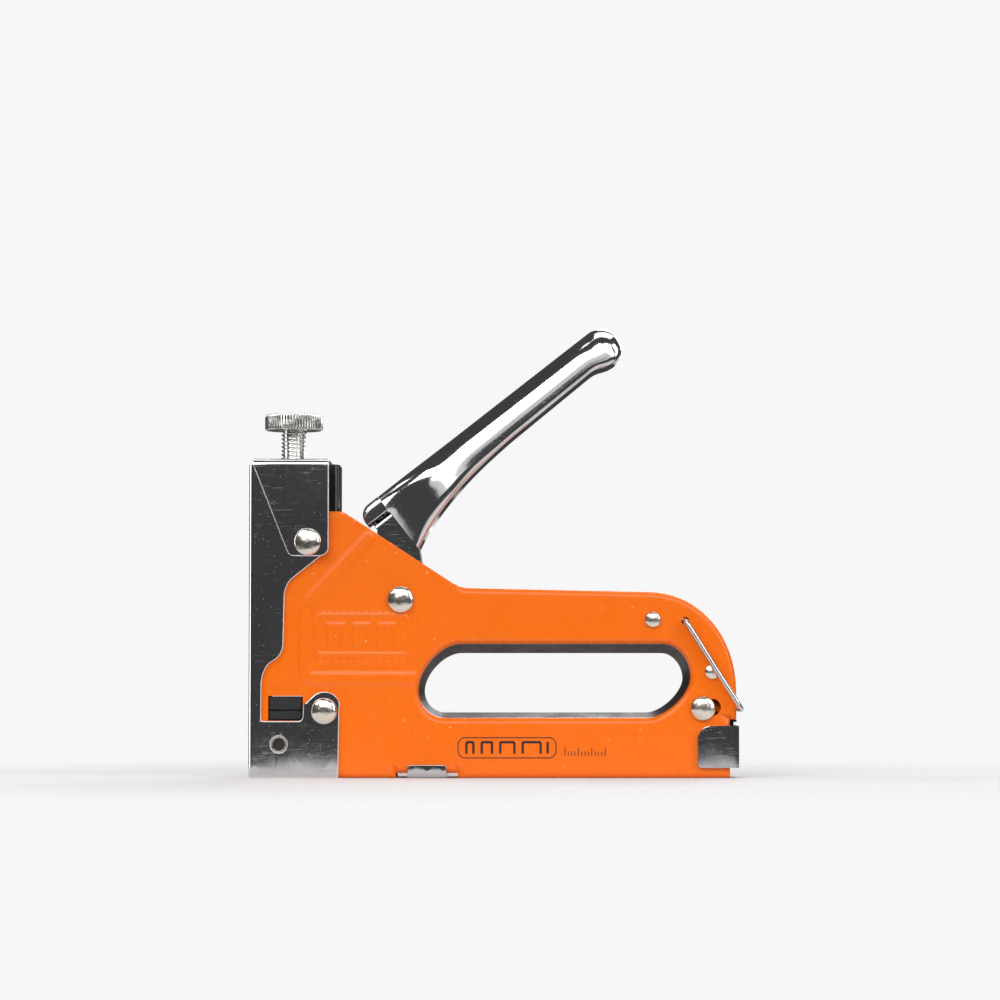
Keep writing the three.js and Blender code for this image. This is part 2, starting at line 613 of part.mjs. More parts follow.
// ---- pusher: rod, end cap, catch, shoe and spring ---------------------------------------------------
const cap = {
  front: bodyLength - 12.2, rear: bodyLength + 0.8, low: 3.2, high: 16.3, sheet: 1.1, corner: 4.2,
};
const capSide = halfWidth + sheetGap;
const capShape = new THREE.Shape();
capShape.moveTo(cap.front + 1.2, cap.low);
capShape.lineTo(cap.rear - 1.6, cap.low);
curveCorner(capShape, cap.rear, cap.low, cap.rear, cap.low + 1.6);
capShape.lineTo(cap.rear, cap.high);
capShape.lineTo(cap.front + cap.corner, cap.high);
curveCorner(capShape, cap.front, cap.high, cap.front, cap.high - cap.corner);
capShape.lineTo(cap.front, cap.low + 1.2);

const rod = {
  z: 6.7, radius: 1.9, front: channel.front + 0.9,
  headRadius: 3, headLength: 1.4, collarRear: shellRear - 0.7,
};
addPiece('end_cap', plate(capShape, -capSide - cap.sheet, capSide + cap.sheet)
  .subtract(box(
    [cap.front - past, cap.rear - cap.sheet], [-capSide, capSide], [cap.low - past, cap.high + past]))
  .subtract(along(cap.rear - 2 * cap.sheet, cap.rear + past, rod.z, rod.radius + shankGap)), 'chrome');

const rodBody = along(rod.front, cap.rear - sheetGap, rod.z, rod.radius)
  .add(along(rod.front, rod.front + rod.headLength, rod.z, rod.headRadius))
  .add(along(rod.collarRear - 1.6, rod.collarRear, rod.z, rod.headRadius));
addPiece('pusher_rod', rodBody, 'steel');

const catchTop = rearStep.z - 0.1;
const catchXs = [shellRear + 0.3, cap.rear - cap.sheet - 0.15];
addPiece('end_cap_catch', box(catchXs, [-4, 4], [12, catchTop])
  .add(box([catchXs[0], cap.rear - 0.3], [-4, 4], [catchTop - 0.7, catchTop])), 'black');

const shoe = { length: 11 };
const shoeFront = rod.front + rod.headLength + runGap;
const shoeHalf = channel.half - channel.sheet - runGap;
addPiece('pusher_shoe', box(
  [shoeFront, shoeFront + shoe.length],
  [-shoeHalf, shoeHalf],
  [channel.bottom + channel.sheet + runGap, channel.top - channel.sheet - runGap],
).subtract(along(shoeFront - past, shoeFront + shoe.length + past, rod.z, rod.radius + shankGap)), 'steel');

const pusherSpring = { wire: 0.35, radius: 2.75, turns: 24 };
const springFront = shoeFront + shoe.length + pusherSpring.wire + 0.2;
const springRear = rod.collarRear - 1.6 - pusherSpring.wire - 0.2;
addPiece('pusher_spring', wireGeometry(new Coil(
  [springFront, 0, rod.z],
  'x',
  pusherSpring.radius,
  springRear - springFront,
  pusherSpring.turns,
), pusherSpring.wire, 144, 4), 'steel');

// ---- the tool, centred along X over the middle of its length ----------------------------------------
const group = new THREE.Group();
group.add(meshes);
group.updateMatrixWorld(true);
meshes.position.x = -new THREE.Box3().setFromObject(meshes, true).getCenter(new THREE.Vector3()).x;
group.updateMatrixWorld(true);
export default group;
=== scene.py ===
import math

import bmesh
import bpy
import numpy as np
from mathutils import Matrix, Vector
from mathutils.geometry import delaunay_2d_cdt


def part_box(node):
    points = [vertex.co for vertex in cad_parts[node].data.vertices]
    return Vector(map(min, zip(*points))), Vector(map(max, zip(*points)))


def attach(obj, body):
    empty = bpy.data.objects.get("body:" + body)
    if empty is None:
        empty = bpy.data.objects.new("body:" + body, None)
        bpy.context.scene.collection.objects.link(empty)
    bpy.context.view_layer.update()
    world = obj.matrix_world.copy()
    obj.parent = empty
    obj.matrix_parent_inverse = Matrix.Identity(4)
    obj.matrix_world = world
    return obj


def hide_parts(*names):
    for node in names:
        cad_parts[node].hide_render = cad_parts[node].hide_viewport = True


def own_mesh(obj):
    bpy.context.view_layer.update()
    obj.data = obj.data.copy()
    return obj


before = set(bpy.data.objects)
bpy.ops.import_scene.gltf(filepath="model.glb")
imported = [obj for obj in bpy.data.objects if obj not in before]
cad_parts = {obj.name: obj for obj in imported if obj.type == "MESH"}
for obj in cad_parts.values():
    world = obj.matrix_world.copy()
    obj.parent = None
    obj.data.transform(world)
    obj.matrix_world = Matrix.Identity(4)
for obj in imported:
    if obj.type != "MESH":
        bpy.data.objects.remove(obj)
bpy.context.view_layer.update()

# ---- Studio ------------------------------------------------------------------------------------------
# A hand tacker stands on its sole on a plain pale floor, seen square from its left side.
# Large soft lights stand above and beside the tool, so its flat chrome mirrors the dark room in front.
nose_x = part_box("nose_cover")[0].x


def feed(node, values):
    """Sets inputs of a node: a value that is an output socket is linked, any other is set."""
    for key, value in values.items():
        if isinstance(value, bpy.types.NodeSocket):
            node.id_data.links.new(value, node.inputs[key])
        else:
            node.inputs[key].default_value = value


def add(tree, kind, values=None, **settings):
    """A new shader node in the tree with its settings and its inputs."""
    made = tree.nodes.new("ShaderNode" + kind)
    for key, value in settings.items():
        setattr(made, key, value)
    feed(made, values or {})
    return made


def new_finish(name):
    """A material with its node tree, its Principled shader and the object coordinates (metres)."""
    material = bpy.data.materials.new(name)
    material.use_nodes = True
    tree = material.node_tree
    return material, tree, tree.nodes["Principled BSDF"], add(tree, "TexCoord").outputs["Object"]


def soft_light(name, place, aim, size, power):
    """A rectangular area light at a place, turned to aim at a point (metres, watts)."""
    light = bpy.data.lights.new(name, "AREA")
    light.shape = "RECTANGLE"
    light.size, light.size_y = size
    light.energy = power
    holder = bpy.data.objects.new(name, light)
    holder.location = place
    holder.rotation_euler = (Vector(aim) - Vector(place)).to_track_quat("-Z", "Y").to_euler()
    bpy.context.scene.collection.objects.link(holder)


eye_x = nose_x + 0.0787
camera_data = bpy.data.cameras.new("camera")
camera_data.lens = 126.4
camera_data.sensor_width = 36
camera_data.clip_start = 0.01
camera = bpy.data.objects.new("camera", camera_data)
camera.location = (eye_x, -1.111, 0.030)
camera.rotation_euler = Vector((0, 1.100, 0.057)).to_track_quat("-Z", "Y").to_euler()
bpy.context.scene.collection.objects.link(camera)
bpy.context.scene.camera = camera
bpy.context.scene.view_settings.view_transform = "Standard"

world = bpy.data.worlds.new("studio_room")
bpy.context.scene.world = world
world.use_nodes = True
seen_directly = add(world.node_tree, "LightPath").outputs["Is Camera Ray"]
room = add(world.node_tree, "Mix", {0: seen_directly, 6: (0.062, 0.062, 0.064, 1), 7: (0.93, 0.93, 0.93, 1)},
           data_type="RGBA")
feed(world.node_tree.nodes["Background"], {"Color": room.outputs[2], "Strength": 1.0})

middle = (0, 0, 0.06)
soft_light("key_light", (-0.60, -0.70, 0.80), middle, (0.6, 0.5), 4.4)
soft_light("front_light", (0.05, -1.10, 0.76), middle, (1.2, 0.75), 7.2)
soft_light("front_strip", (0.10, -1.00, 0.36), middle, (1.2, 0.28), 0.75)
soft_light("fill_light", (0.80, -0.55, 0.50), middle, (0.4, 0.8), 3.5)
soft_light("top_light", (0.05, 0.15, 0.95), middle, (0.9, 0.6), 3)
soft_light("left_strip", (-0.75, 0.10, 0.25), middle, (0.25, 0.9), 2.5)
soft_light("rear_fill", (0.35, 0.85, 0.55), middle, (0.8, 0.6), 5)

pale_floor, tree, shader, coords = new_finish("pale_floor")
cloudy = add(tree, "TexNoise", {"Vector": coords, "Scale": 6.0, "Detail": 3.0})
tone = add(tree, "Mix", {0: cloudy.outputs["Fac"], 6: (0.74, 0.74, 0.74, 1), 7: (0.77, 0.77, 0.77, 1)},
           data_type="RGBA")
away = add(tree, "VectorMath", {0: coords}, operation="LENGTH")
fade = add(tree, "MapRange", {"Value": away.outputs["Value"], "From Min": 0.11, "From Max": 0.30,
                              "To Min": 1.0, "To Max": 0.0}, interpolation_type="SMOOTHSTEP")
feed(shader, {"Base Color": tone.outputs[2], "Roughness": 0.9, "Specular IOR Level": 0.1,
              "Alpha": fade.outputs["Result"]})
floor_mesh = bpy.data.meshes.new("floor")
floor_mesh.from_pydata([(-4, -4, 0), (4, -4, 0), (4, 4, 0), (-4, 4, 0)], [], [(0, 1, 2, 3)])
floor = bpy.data.objects.new("floor", floor_mesh)
floor.data.materials.append(pale_floor)
bpy.context.scene.collection.objects.link(floor)

# ---- Body shells -------------------------------------------------------------------------------------
# Two half shells pressed from 1.2 mm steel sheet, riveted back to back along a seam in the middle plane.
# They are powder coated in gloss orange; a stiffening bead and an emblem are pressed into each flank,
# and the rim of the hand hole is turned in. Its inner wall is coloured near black as painted shade.
MM = 0.001
shell_face, shell_sheet, seam = 11.0, 1.2, 0.15
rim_round, hole_round = 1.8, 2.0
shell_corners = [
    (1.4, 0), (46.2, 0), (46.2, 1.6), (65.5, 1.6), (65.5, 0), (150.7, 0), (150.7, 18.2), (152.7, 18.2),
    (152.7, 57.7, 31, 27, 0.58), (66, 59.5, 3, 3, 0.55), (32.8, 81.2, 1.2, 1.2, 0.55),
    (29.3, 83.4, 1.2, 1.2, 0.55), (1.4, 83.4),
]
hand_hole_corners = [
    (53.2, 41.9, 13.3, 14.6, 0.47), (53.2, 18.8, 8.5, 8.3, 0.55),
    (138.3, 18.8, 13.5, 12.7, 0.42), (138.3, 41.9, 10.4, 8.8, 0.55),
]


def rounded_outline(corners, steps=12):
    """Closed outline through corners (x, z, reach before, reach after, fullness). Each corner is cut back
    along its two edges by its reaches and crossed by a cubic curve that leaves and meets them in line."""
    spots = np.array([corner[:2] for corner in corners], float)
    points = []
    for i, corner in enumerate(corners):
        if len(corner) == 2:
            points.append(spots[i:i + 1])
            continue
        before, after, fullness = corner[2:]
        back, onward = spots[i - 1] - spots[i], spots[(i + 1) % len(spots)] - spots[i]
        start = spots[i] + back / np.linalg.norm(back) * before
        end = spots[i] + onward / np.linalg.norm(onward) * after
        lean_out, lean_in = start + (spots[i] - start) * fullness, end + (spots[i] - end) * fullness
        t = np.linspace(0, 1, steps + 1)[:, None]
        points.append((1 - t) ** 3 * start + 3 * (1 - t) ** 2 * t * lean_out
                      + 3 * (1 - t) * t ** 2 * lean_in + t ** 3 * end)
    points = np.vstack(points)
    return points[np.linalg.norm(np.roll(points, -1, 0) - points, axis=1) > 1e-4]


def divided(points, step, closed=True):
    """The same line with every straight piece split into equal parts no longer than step."""
    ends = np.roll(points, -1, 0) if closed else points[1:]
    starts = points if closed else points[:-1]
    lengths = np.linalg.norm(ends - starts, axis=1)
    parts = np.maximum(1, np.ceil(lengths / step - 1e-6)).astype(int)
    piece = np.repeat(np.arange(len(starts)), parts)
    share = (np.arange(len(piece)) - np.repeat(np.cumsum(parts) - parts, parts)) / parts[piece]
    line = starts[piece] + (ends - starts)[piece] * share[:, None]
    return line if closed else np.vstack([line, points[-1:]])


def bent_path(corners, bend, step=0.8):
    """An open line through corners, each rounded by a quadratic curve of reach bend, points step apart."""
    corners = np.asarray(corners, float)
    t = np.linspace(0, 1, 9)[:, None]
    rows = [corners[:1]]
    for before, corner, after in zip(corners[:-2], corners[1:-1], corners[2:]):
        start = corner + (before - corner) / np.linalg.norm(before - corner) * bend
        end = corner + (after - corner) / np.linalg.norm(after - corner) * bend
        rows.append((1 - t) ** 2 * start + 2 * t * (1 - t) * corner + t ** 2 * end)
    return divided(np.vstack([*rows, corners[-1:]]), step, closed=False)


def circle(x, z, radius, count=28):
    """Points evenly round a circle."""
    angle = np.linspace(0, 2 * np.pi, count, endpoint=False)
    return np.stack([x + radius * np.cos(angle), z + radius * np.sin(angle)], 1)


def distance_to(points, line, closed=True, used=None):
    """Shortest distance from each point to the straight pieces of a line."""
    starts, ends = (line, np.roll(line, -1, 0)) if closed else (line[:-1], line[1:])
    if used is not None:
        starts, ends = starts[used], ends[used]
    way = ends - starts
    length2 = np.maximum((way ** 2).sum(1), 1e-12)
    nearest = []
    for group in np.array_split(points, max(1, len(points) // 3000)):
        off = group[:, None] - starts
        share = np.clip((off * way).sum(2) / length2, 0, 1)
        nearest.append(np.linalg.norm(off - share[..., None] * way, axis=2).min(1))
    return np.concatenate(nearest)


def lies_inside(points, loop):
    """True where a level line from the point to the far side crosses the loop an odd number of times."""
    x, z = points[:, :1], points[:, 1:]
    after = np.roll(loop, -1, 0)
    rise = after[:, 1] - loop[:, 1]
    straddles = (loop[:, 1] > z) != (after[:, 1] > z)
    meets = loop[:, 0] + (z - loop[:, 1]) * (after[:, 0] - loop[:, 0]) / np.where(rise == 0, 1, rise)
    return (straddles & (x < meets)).sum(1) % 2 == 1


def moved_sideways(loop, distance):
    """A closed loop moved to its left by a distance, along the mean of its neighbouring edge normals."""
    way = np.roll(loop, -1, 0) - loop
    way /= np.linalg.norm(way, axis=1)[:, None]
    left = np.stack([-way[:, 1], way[:, 0]], 1)
    mean = left + np.roll(left, 1, 0)
    mean /= np.maximum((mean ** 2).sum(1) / 2, 0.5)[:, None]
    return loop + mean * distance


def cut_blank(loops, loose=(), folds=()):
    """A flat blank as triangles: the first loop is its edge, further loops are holes, folds are lines that
    triangles may not cross. Delaunay triangles are kept where their middle is on the sheet."""
    rows = [*loops, *folds, *loose]
    points = np.vstack(rows)
    first = np.cumsum([0] + [len(row) for row in rows])
    edges = []
    for i, row in enumerate([*loops, *folds]):
        numbers = np.arange(len(row)) + first[i]
        ends = np.roll(numbers, -1)
        edges += np.stack([numbers, ends], 1)[:len(row) - (i >= len(loops))].tolist()
    flat, _, faces, *_ = delaunay_2d_cdt([Vector(p) for p in points.tolist()], edges, [], 0, 1e-5)
    flat, faces = np.array([p[:] for p in flat]), np.array([list(f) for f in faces])
    centre = flat[faces].mean(1)
    kept = lies_inside(centre, loops[0])
    for hole in loops[1:]:
        kept &= ~lies_inside(centre, hole)
    used, faces = np.unique(faces[kept], return_inverse=True)
    return flat[used], faces.reshape(-1, 3)


def grid_faces(rows, columns, rows_close=False, columns_close=False):
    """Four-sided faces between the points of a grid that is stored row by row."""
    i, j = np.meshgrid(np.arange(rows - (not rows_close)), np.arange(columns - (not columns_close)),
                       indexing="ij")
    i, j = i.ravel(), j.ravel()
    below, beside = (i + 1) % rows, (j + 1) % columns
    return np.stack([i * columns + j, i * columns + beside, below * columns + beside, below * columns + j], 1)


def smooth_step(t):
    """0 below 0, 1 above 1, and an S-shaped cubic between."""
    t = np.clip(t, 0, 1)
    return t * t * (3 - 2 * t)


def make_piece(name, parts, materials, outward=None, sharp=40):
    """One object from parts (points in tool millimetres, faces, number of its material). Doubles are merged
    and faces turned outwards, or for an open sheet so that their sum points along outward."""
    points, faces, paints, first = [], [], [], 0
    for part_points, part_faces, *paint in parts:
        points.append(part_points)
        faces += (np.asarray(part_faces) + first).tolist()
        paints += [paint[0] if paint else 0] * len(part_faces)
        first += len(part_points)
    mesh = bpy.data.meshes.new(name)
    mesh.from_pydata((np.vstack(points) * MM + (nose_x, 0, 0)).tolist(), [], faces)
    mesh.polygons.foreach_set("material_index", paints)
    work = bmesh.new()
    work.from_mesh(mesh)
    bmesh.ops.remove_doubles(work, verts=work.verts, dist=3e-6)
    bmesh.ops.dissolve_degenerate(work, edges=work.edges, dist=1e-6)
    bmesh.ops.recalc_face_normals(work, faces=work.faces)
    if outward is not None:
        total = sum((face.normal * face.calc_area() for face in work.faces), Vector())
        if total.dot(Vector(outward)) < 0:
            bmesh.ops.reverse_faces(work, faces=work.faces)
    work.to_mesh(mesh)
    work.free()
    mesh.shade_smooth()
    mesh.set_sharp_from_angle(angle=math.radians(sharp))
    for material in materials:
        mesh.materials.append(material)
    piece = bpy.data.objects.new(name, mesh)
    bpy.context.scene.collection.objects.link(piece)
    return piece


def give_sheet(piece, thickness, edge=0.18, even=True, highlight_finish=None):
    """Thickens a skin inwards to a sheet and eases its cut edges, in their own finish if one is given: a
    satin metal for the bare cut edges, made lighter than the chrome so that it paints highlight lines along
    them.
    """
    wall = piece.modifiers.new("sheet", "SOLIDIFY")
    wall.thickness, wall.offset = thickness * MM, -1
    wall.use_even_offset = even
    ease_edges(piece, edge)
    if highlight_finish:
        piece.data.materials.append(highlight_finish)
        piece.modifiers["eased_edges"].material = len(piece.data.materials) - 1
        piece.modifiers["eased_edges"].use_clamp_overlap = False


def ease_edges(piece, edge, over=50):
    """Rounds every edge sharper than an angle, and evens the shading of the flats beside it."""
    round_off = piece.modifiers.new("eased_edges", "BEVEL")
    round_off.width, round_off.segments = edge * MM, 2
    round_off.limit_method, round_off.angle_limit = "ANGLE", math.radians(over)
    round_off.use_clamp_overlap = True
    even = piece.modifiers.new("even_shading", "WEIGHTED_NORMAL")
    even.keep_sharp = False


def place(piece, body, slot, *replaced):
    """Rides a piece on a body and hides the CAD nodes that it stands for. The slot is not used."""
    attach(piece, body)
    if replaced:
        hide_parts(*replaced)
    return piece


def effect_group(name, inputs, outputs):
    """An empty shader node group with float or vector sockets, its input node and its output node."""
    group = bpy.data.node_groups.new(name, "ShaderNodeTree")
    for direction, sockets in (("INPUT", inputs), ("OUTPUT", outputs)):
        for socket, kind in sockets.items():
            group.interface.new_socket(socket, in_out=direction, socket_type="NodeSocket" + kind)
    return group, group.nodes.new("NodeGroupInput").outputs, group.nodes.new("NodeGroupOutput")


def use_group(tree, group, values):
    """Places an effect group in a material with its own values."""
    made = tree.nodes.new("ShaderNodeGroup")
    made.node_tree = group
    feed(made, values)
    return made.outputs


# Settled dust and tiny inclusions: round cells of a Voronoi pattern, kept where their own random colour is
# above a limit, with a soft edge.
specks_group, given, gives = effect_group(
    "specks", {"Coordinates": "Vector", "Per Metre": "Float", "Size": "Float", "Sparseness": "Float"},
    {"Mask": "Float"})
cells = add(specks_group, "TexVoronoi", {"Vector": given["Coordinates"], "Scale": given["Per Metre"]})
near = add(specks_group, "Math", {0: given["Size"], 1: cells.outputs["Distance"]}, operation="SUBTRACT")
near = add(specks_group, "Math", {0: near.outputs[0], 1: 12.0}, operation="MULTIPLY", use_clamp=True)
lucky = add(specks_group, "SeparateColor", {"Color": cells.outputs["Color"]})
lucky = add(specks_group, "Math", {0: lucky.outputs["Red"], 1: given["Sparseness"]}, operation="GREATER_THAN")
kept = add(specks_group, "Math", {0: near.outputs[0], 1: lucky.outputs[0]}, operation="MULTIPLY")
feed(gives, {"Mask": kept.outputs[0]})

# Uneven gloss: two sizes of soft noise added up, as handling and coating leave it.
patchy_group, given, gives = effect_group(
    "patchy_gloss",
    {"Coordinates": "Vector", "Coarse": "Float", "Fine": "Float", "Low": "Float", "High": "Float"},
    {"Roughness": "Float"})
coarse = add(patchy_group, "TexNoise", {"Vector": given["Coordinates"], "Scale": given["Coarse"],
                                        "Detail": 3.0})
fine = add(patchy_group, "TexNoise", {"Vector": given["Coordinates"], "Scale": given["Fine"],
                                      "Detail": 2.0})
both = add(patchy_group, "Math", {0: coarse.outputs["Fac"], 1: fine.outputs["Fac"]}, operation="ADD")
spread = add(patchy_group, "MapRange", {"Value": both.outputs[0], "From Min": 0.7, "From Max": 1.3,
                                        "To Min": given["Low"], "To Max": given["High"]})
feed(gives, {"Roughness": spread.outputs["Result"]})

orange_enamel, tree, shader, coords = new_finish("orange_enamel")
dust = use_group(tree, specks_group, {"Coordinates": coords, "Per Metre": 420.0, "Size": 0.20,
                                      "Sparseness": 0.93})
gloss = use_group(tree, patchy_group, {"Coordinates": coords, "Coarse": 40.0, "Fine": 700.0, "Low": 0.20,
                                       "High": 0.34})
depth = add(tree, "TexNoise", {"Vector": coords, "Scale": 55.0, "Detail": 4.0})
shade = add(tree, "Mix", {0: depth.outputs["Fac"], 6: (0.93, 0.158, 0.004, 1), 7: (0.99, 0.186, 0.006, 1)},
            data_type="RGBA")
shade = add(tree, "Mix", {0: dust["Mask"], 6: shade.outputs[2], 7: (0.98, 0.36, 0.12, 1)}, data_type="RGBA")
peel = add(tree, "TexNoise", {"Vector": coords, "Scale": 850.0, "Detail": 2.0, "Roughness": 0.4})
peel_bump = add(tree, "Bump", {"Height": peel.outputs["Fac"], "Strength": 0.10, "Distance": 0.0002})
sunk = add(tree, "TexNoise", {"Vector": coords, "Scale": 70.0, "Detail": 1.0})
sunk_bump = add(tree, "Bump", {"Height": sunk.outputs["Fac"], "Strength": 0.12, "Distance": 0.001,
                               "Normal": peel_bump.outputs["Normal"]})
feed(shader, {"Base Color": shade.outputs[2], "Roughness": gloss["Roughness"], "Coat Weight": 0.2,
              "Specular IOR Level": 0.3, "Coat Roughness": 0.06, "Normal": sunk_bump.outputs["Normal"]})

# Painted shade: a near-black brown that stands in for the shade on the hand hole's turned-in wall and deep
# inside the roll pins' bores.
painted_shade_finish, tree, shader, coords = new_finish("painted_shade_near_black")
gloss = use_group(tree, patchy_group, {"Coordinates": coords, "Coarse": 90.0, "Fine": 1500.0, "Low": 0.35,
                                       "High": 0.6})
brown = add(tree, "TexNoise", {"Vector": coords, "Scale": 110.0, "Detail": 4.0})
tone = add(tree, "Mix", {0: brown.outputs["Fac"], 6: (0.010, 0.008, 0.007, 1), 7: (0.030, 0.020, 0.015, 1)},
           data_type="RGBA")
feed(shader, {"Base Color": tone.outputs[2], "Roughness": gloss["Roughness"]})

shell_loop = divided(rounded_outline(shell_corners, 16), 1.0)
hole_loop = divided(rounded_outline(hand_hole_corners, 16), 1.0)[::-1]
window_loop = divided(np.array([(6.2, 17.9), (17.0, 17.9), (17.0, 25.6), (6.2, 25.6)]), 1.2)
bail_x, bail_z, pin_x, pin_z = 136.7, 49.1, 9.6, 10.5
bail_eye, key_eye, pin_eye = circle(bail_x, bail_z, 1.2), circle(145.2, 22.1, 2.6), circle(pin_x, pin_z, 2.6)
loop_ends = np.roll(shell_loop, -1, 0)
loop_mid = (shell_loop + loop_ends) / 2
cut_edge = ((loop_mid[:, 0] < 65.6) & (loop_mid[:, 1] > 45)) | (loop_mid[:, 0] < 1.5)
lipped = (loop_mid[:, 1] < 1.7) | ((loop_mid[:, 0] > 150.6) & (loop_mid[:, 1] < 18.3))

bead_path = bent_path([(55.0, 31.0), (17.6, 31.0), (17.6, 53.5), (37.5, 75.0)], 3.0)
emblem_frame = rounded_outline([(20.9, 38.6, 2, 2, 0.55), (49.7, 38.6, 2, 2, 0.55), (49.7, 50.9, 2, 2, 0.55),
                                (20.9, 50.9, 2, 2, 0.55)], 8)
staple_middles = np.array([27.3, 35.3, 43.3])
dot_middles = np.linspace(22.5, 48.1, 12)
step_line = np.array([(32.4, -3.0), (32.4, 28.0)])


def relief(flat):
    """Height of the pressing over the flank: a flat-topped bead along its path, a faint upright step, the
    thin frame of the emblem with three plain staples in it, and a row of dots under it."""
    x, z = flat.T
    bead = 0.30 * (1 - smooth_step((distance_to(flat, bead_path, closed=False) - 1.4) / 0.8))
    step = 0.14 * (1 - smooth_step((distance_to(flat, step_line, closed=False) - 0.9) / 0.6))
    border = 0.17 * (1 - smooth_step((distance_to(flat, emblem_frame) - 0.25) / 0.45))
    legs = np.abs(np.abs(x[:, None] - staple_middles).min(1) - 2.3)
    crown = np.maximum(np.abs(z - 47.9), np.maximum(np.abs(x[:, None] - staple_middles).min(1) - 2.3, 0))
    stroke = np.where((z > 41.4) & (z < 48.2), np.minimum(legs, crown), crown)
    stroke = np.where(z <= 41.4, np.hypot(legs, z - 41.4), stroke)
    staples = 0.20 * (1 - smooth_step((stroke - 0.35) / 0.4))
    dots = 0.12 * (1 - smooth_step((np.hypot(np.abs(x[:, None] - dot_middles).min(1), z - 35.9) - 0.3) / 0.5))
    return np.maximum.reduce([bead, step, border, staples, dots])


def flank_height(flat):
    """How far the flank stands from the middle plane: flat, falling on a quarter circle to its turned-in rims
    and to the hand hole, plus the pressed relief."""
    to_rim = np.clip(rim_round - distance_to(flat, shell_loop, used=~cut_edge), 0, rim_round)
    to_hole = np.clip(hole_round - distance_to(flat, hole_loop), 0, hole_round)
    fall = rim_round - np.sqrt(rim_round ** 2 - to_rim ** 2)
    fall += hole_round - np.sqrt(hole_round ** 2 - to_hole ** 2)
    return shell_face - fall + relief(flat)


def square_grid(x_low, x_high, z_low, z_high, step):
    """Points on a square grid, every other row shifted by half a step, none quite in line with another."""
    x, z = np.meshgrid(np.arange(x_low, x_high, step), np.arange(z_low, z_high, step))
    x = x + (np.arange(len(x))[:, None] % 2) * step / 2
    return np.stack([(x + 0.05 * step * np.sin(7.3 * z + 1.9 * x)).ravel(),
                     (z + 0.05 * step * np.sin(5.1 * x + 2.3 * z)).ravel()], 1)


round_levels = 1 - np.sin(np.radians([0, 20, 38, 54, 68, 80]))
rim_rings, hole_rings = [], []
for level in round_levels:
    ring = moved_sideways(shell_loop, level * rim_round)
    near_rim = ~cut_edge & ~np.roll(cut_edge, 1)
    ring = ring[near_rim]
    true = np.abs(distance_to(ring, shell_loop) - level * rim_round) < 0.02
    rim_rings.append(ring[true & (distance_to(ring, hole_loop) > hole_round)])
    hole_rings.append(moved_sideways(hole_loop, level * hole_round))

everywhere = square_grid(1.4, 152.7, 0, 83.4, 2.2)
by_bead = square_grid(14, 56, 27, 79, 0.62)
by_bead = by_bead[distance_to(by_bead, bead_path, closed=False) < 3.0]
by_step = square_grid(29.8, 35.0, 2.2, 30.0, 0.62)
by_emblem = square_grid(20.0, 50.6, 34.4, 51.8, 0.38)
emblem_field = np.array([(19.4, 33.8), (51.2, 33.8), (51.2, 52.4), (19.4, 52.4)])
step_field = np.array([(29.2, 0), (35.6, 0), (35.6, 30.6), (29.2, 30.6)])
everywhere = everywhere[(distance_to(everywhere, bead_path, closed=False) > 3.6)
                        & ~lies_inside(everywhere, emblem_field) & ~lies_inside(everywhere, step_field)]
by_step = by_step[distance_to(by_step, bead_path, closed=False) > 3.2]
loose = np.vstack([everywhere, by_bead, by_step, by_emblem])
clear = (lies_inside(loose, shell_loop) & ~lies_inside(loose, hole_loop)
         & (distance_to(loose, shell_loop, used=~cut_edge) > rim_round + 0.3)
         & (distance_to(loose, shell_loop) > 0.4) & (distance_to(loose, hole_loop) > hole_round + 0.3)
         & (distance_to(loose, window_loop) > 0.3) & (distance_to(loose, bail_eye) > 0.3)
         & (distance_to(loose, key_eye) > 0.3) & (distance_to(loose, pin_eye) > 0.3))
flank, flank_faces = cut_blank([shell_loop, hole_loop, window_loop, bail_eye, key_eye, pin_eye],
                               [*rim_rings, *hole_rings, loose[clear]])
flank_out = flank_height(flank)

wall_starts, wall_ends = shell_loop[~cut_edge], loop_ends[~cut_edge]
wall_foot = np.where(lipped[~cut_edge], 8.2, seam)
wall_levels = np.linspace(0, 1, 5)[:, None]
wall_depth = (shell_face - rim_round) + (wall_foot - shell_face + rim_round) * wall_levels
hole_share = np.linspace(0, 1, 7)[:, None]
hole_draft = 1.6 + 1.2 * ((hole_loop[:, 1] - 18.8) / 23.1) ** 2
hole_drawn = np.stack([moved_sideways(hole_loop, -1.0) - hole_loop for _ in hole_share])
hole_wall = hole_loop + hole_drawn * (hole_draft * hole_share)[..., None]
hole_depth = (shell_face - hole_round) + (seam - shell_face + hole_round) * hole_share

for side, node in ((-1, "body_shell_left"), (1, "body_shell_right")):
    face = np.stack([flank[:, 0], side * flank_out, flank[:, 1]], 1)
    quads = np.stack([np.broadcast_to(wall_starts, (5, *wall_starts.shape)),
                      np.broadcast_to(wall_ends, (5, *wall_ends.shape))], 2)
    wall_across = side * np.broadcast_to(wall_depth[..., None], quads.shape[:3])
    wall = np.stack([quads[..., 0], wall_across, quads[..., 1]], 3)
    wall_numbers = np.arange(wall[..., 0].size).reshape(wall.shape[:3])
    wall_faces = np.stack([wall_numbers[:-1, :, 0], wall_numbers[:-1, :, 1], wall_numbers[1:, :, 1],
                           wall_numbers[1:, :, 0]], 2).reshape(-1, 4)
    rim_across = side * np.broadcast_to(hole_depth, hole_wall.shape[:2])
    rim = np.stack([hole_wall[..., 0], rim_across, hole_wall[..., 1]], 2)
    # The hand hole's turned-in wall (material 1) takes the near-black painted shade.
    shell = make_piece(node.replace("body", "orange"), [
        (face, flank_faces), (wall.reshape(-1, 3), wall_faces),
        (rim.reshape(-1, 3), grid_faces(len(rim), len(hole_loop), columns_close=True), 1),
    ], [orange_enamel, painted_shade_finish], outward=(0, side, 0))
    give_sheet(shell, shell_sheet)
    place(shell, "frame", "orange_paint", node)

# ---- Printed marks -----------------------------------------------------------------------------------
# A screen-printed size panel on each flank: a boxed row of plain staple signs and a short ruler beside it.
# The black ink stands a few hundredths of a millimetre proud of the enamel.


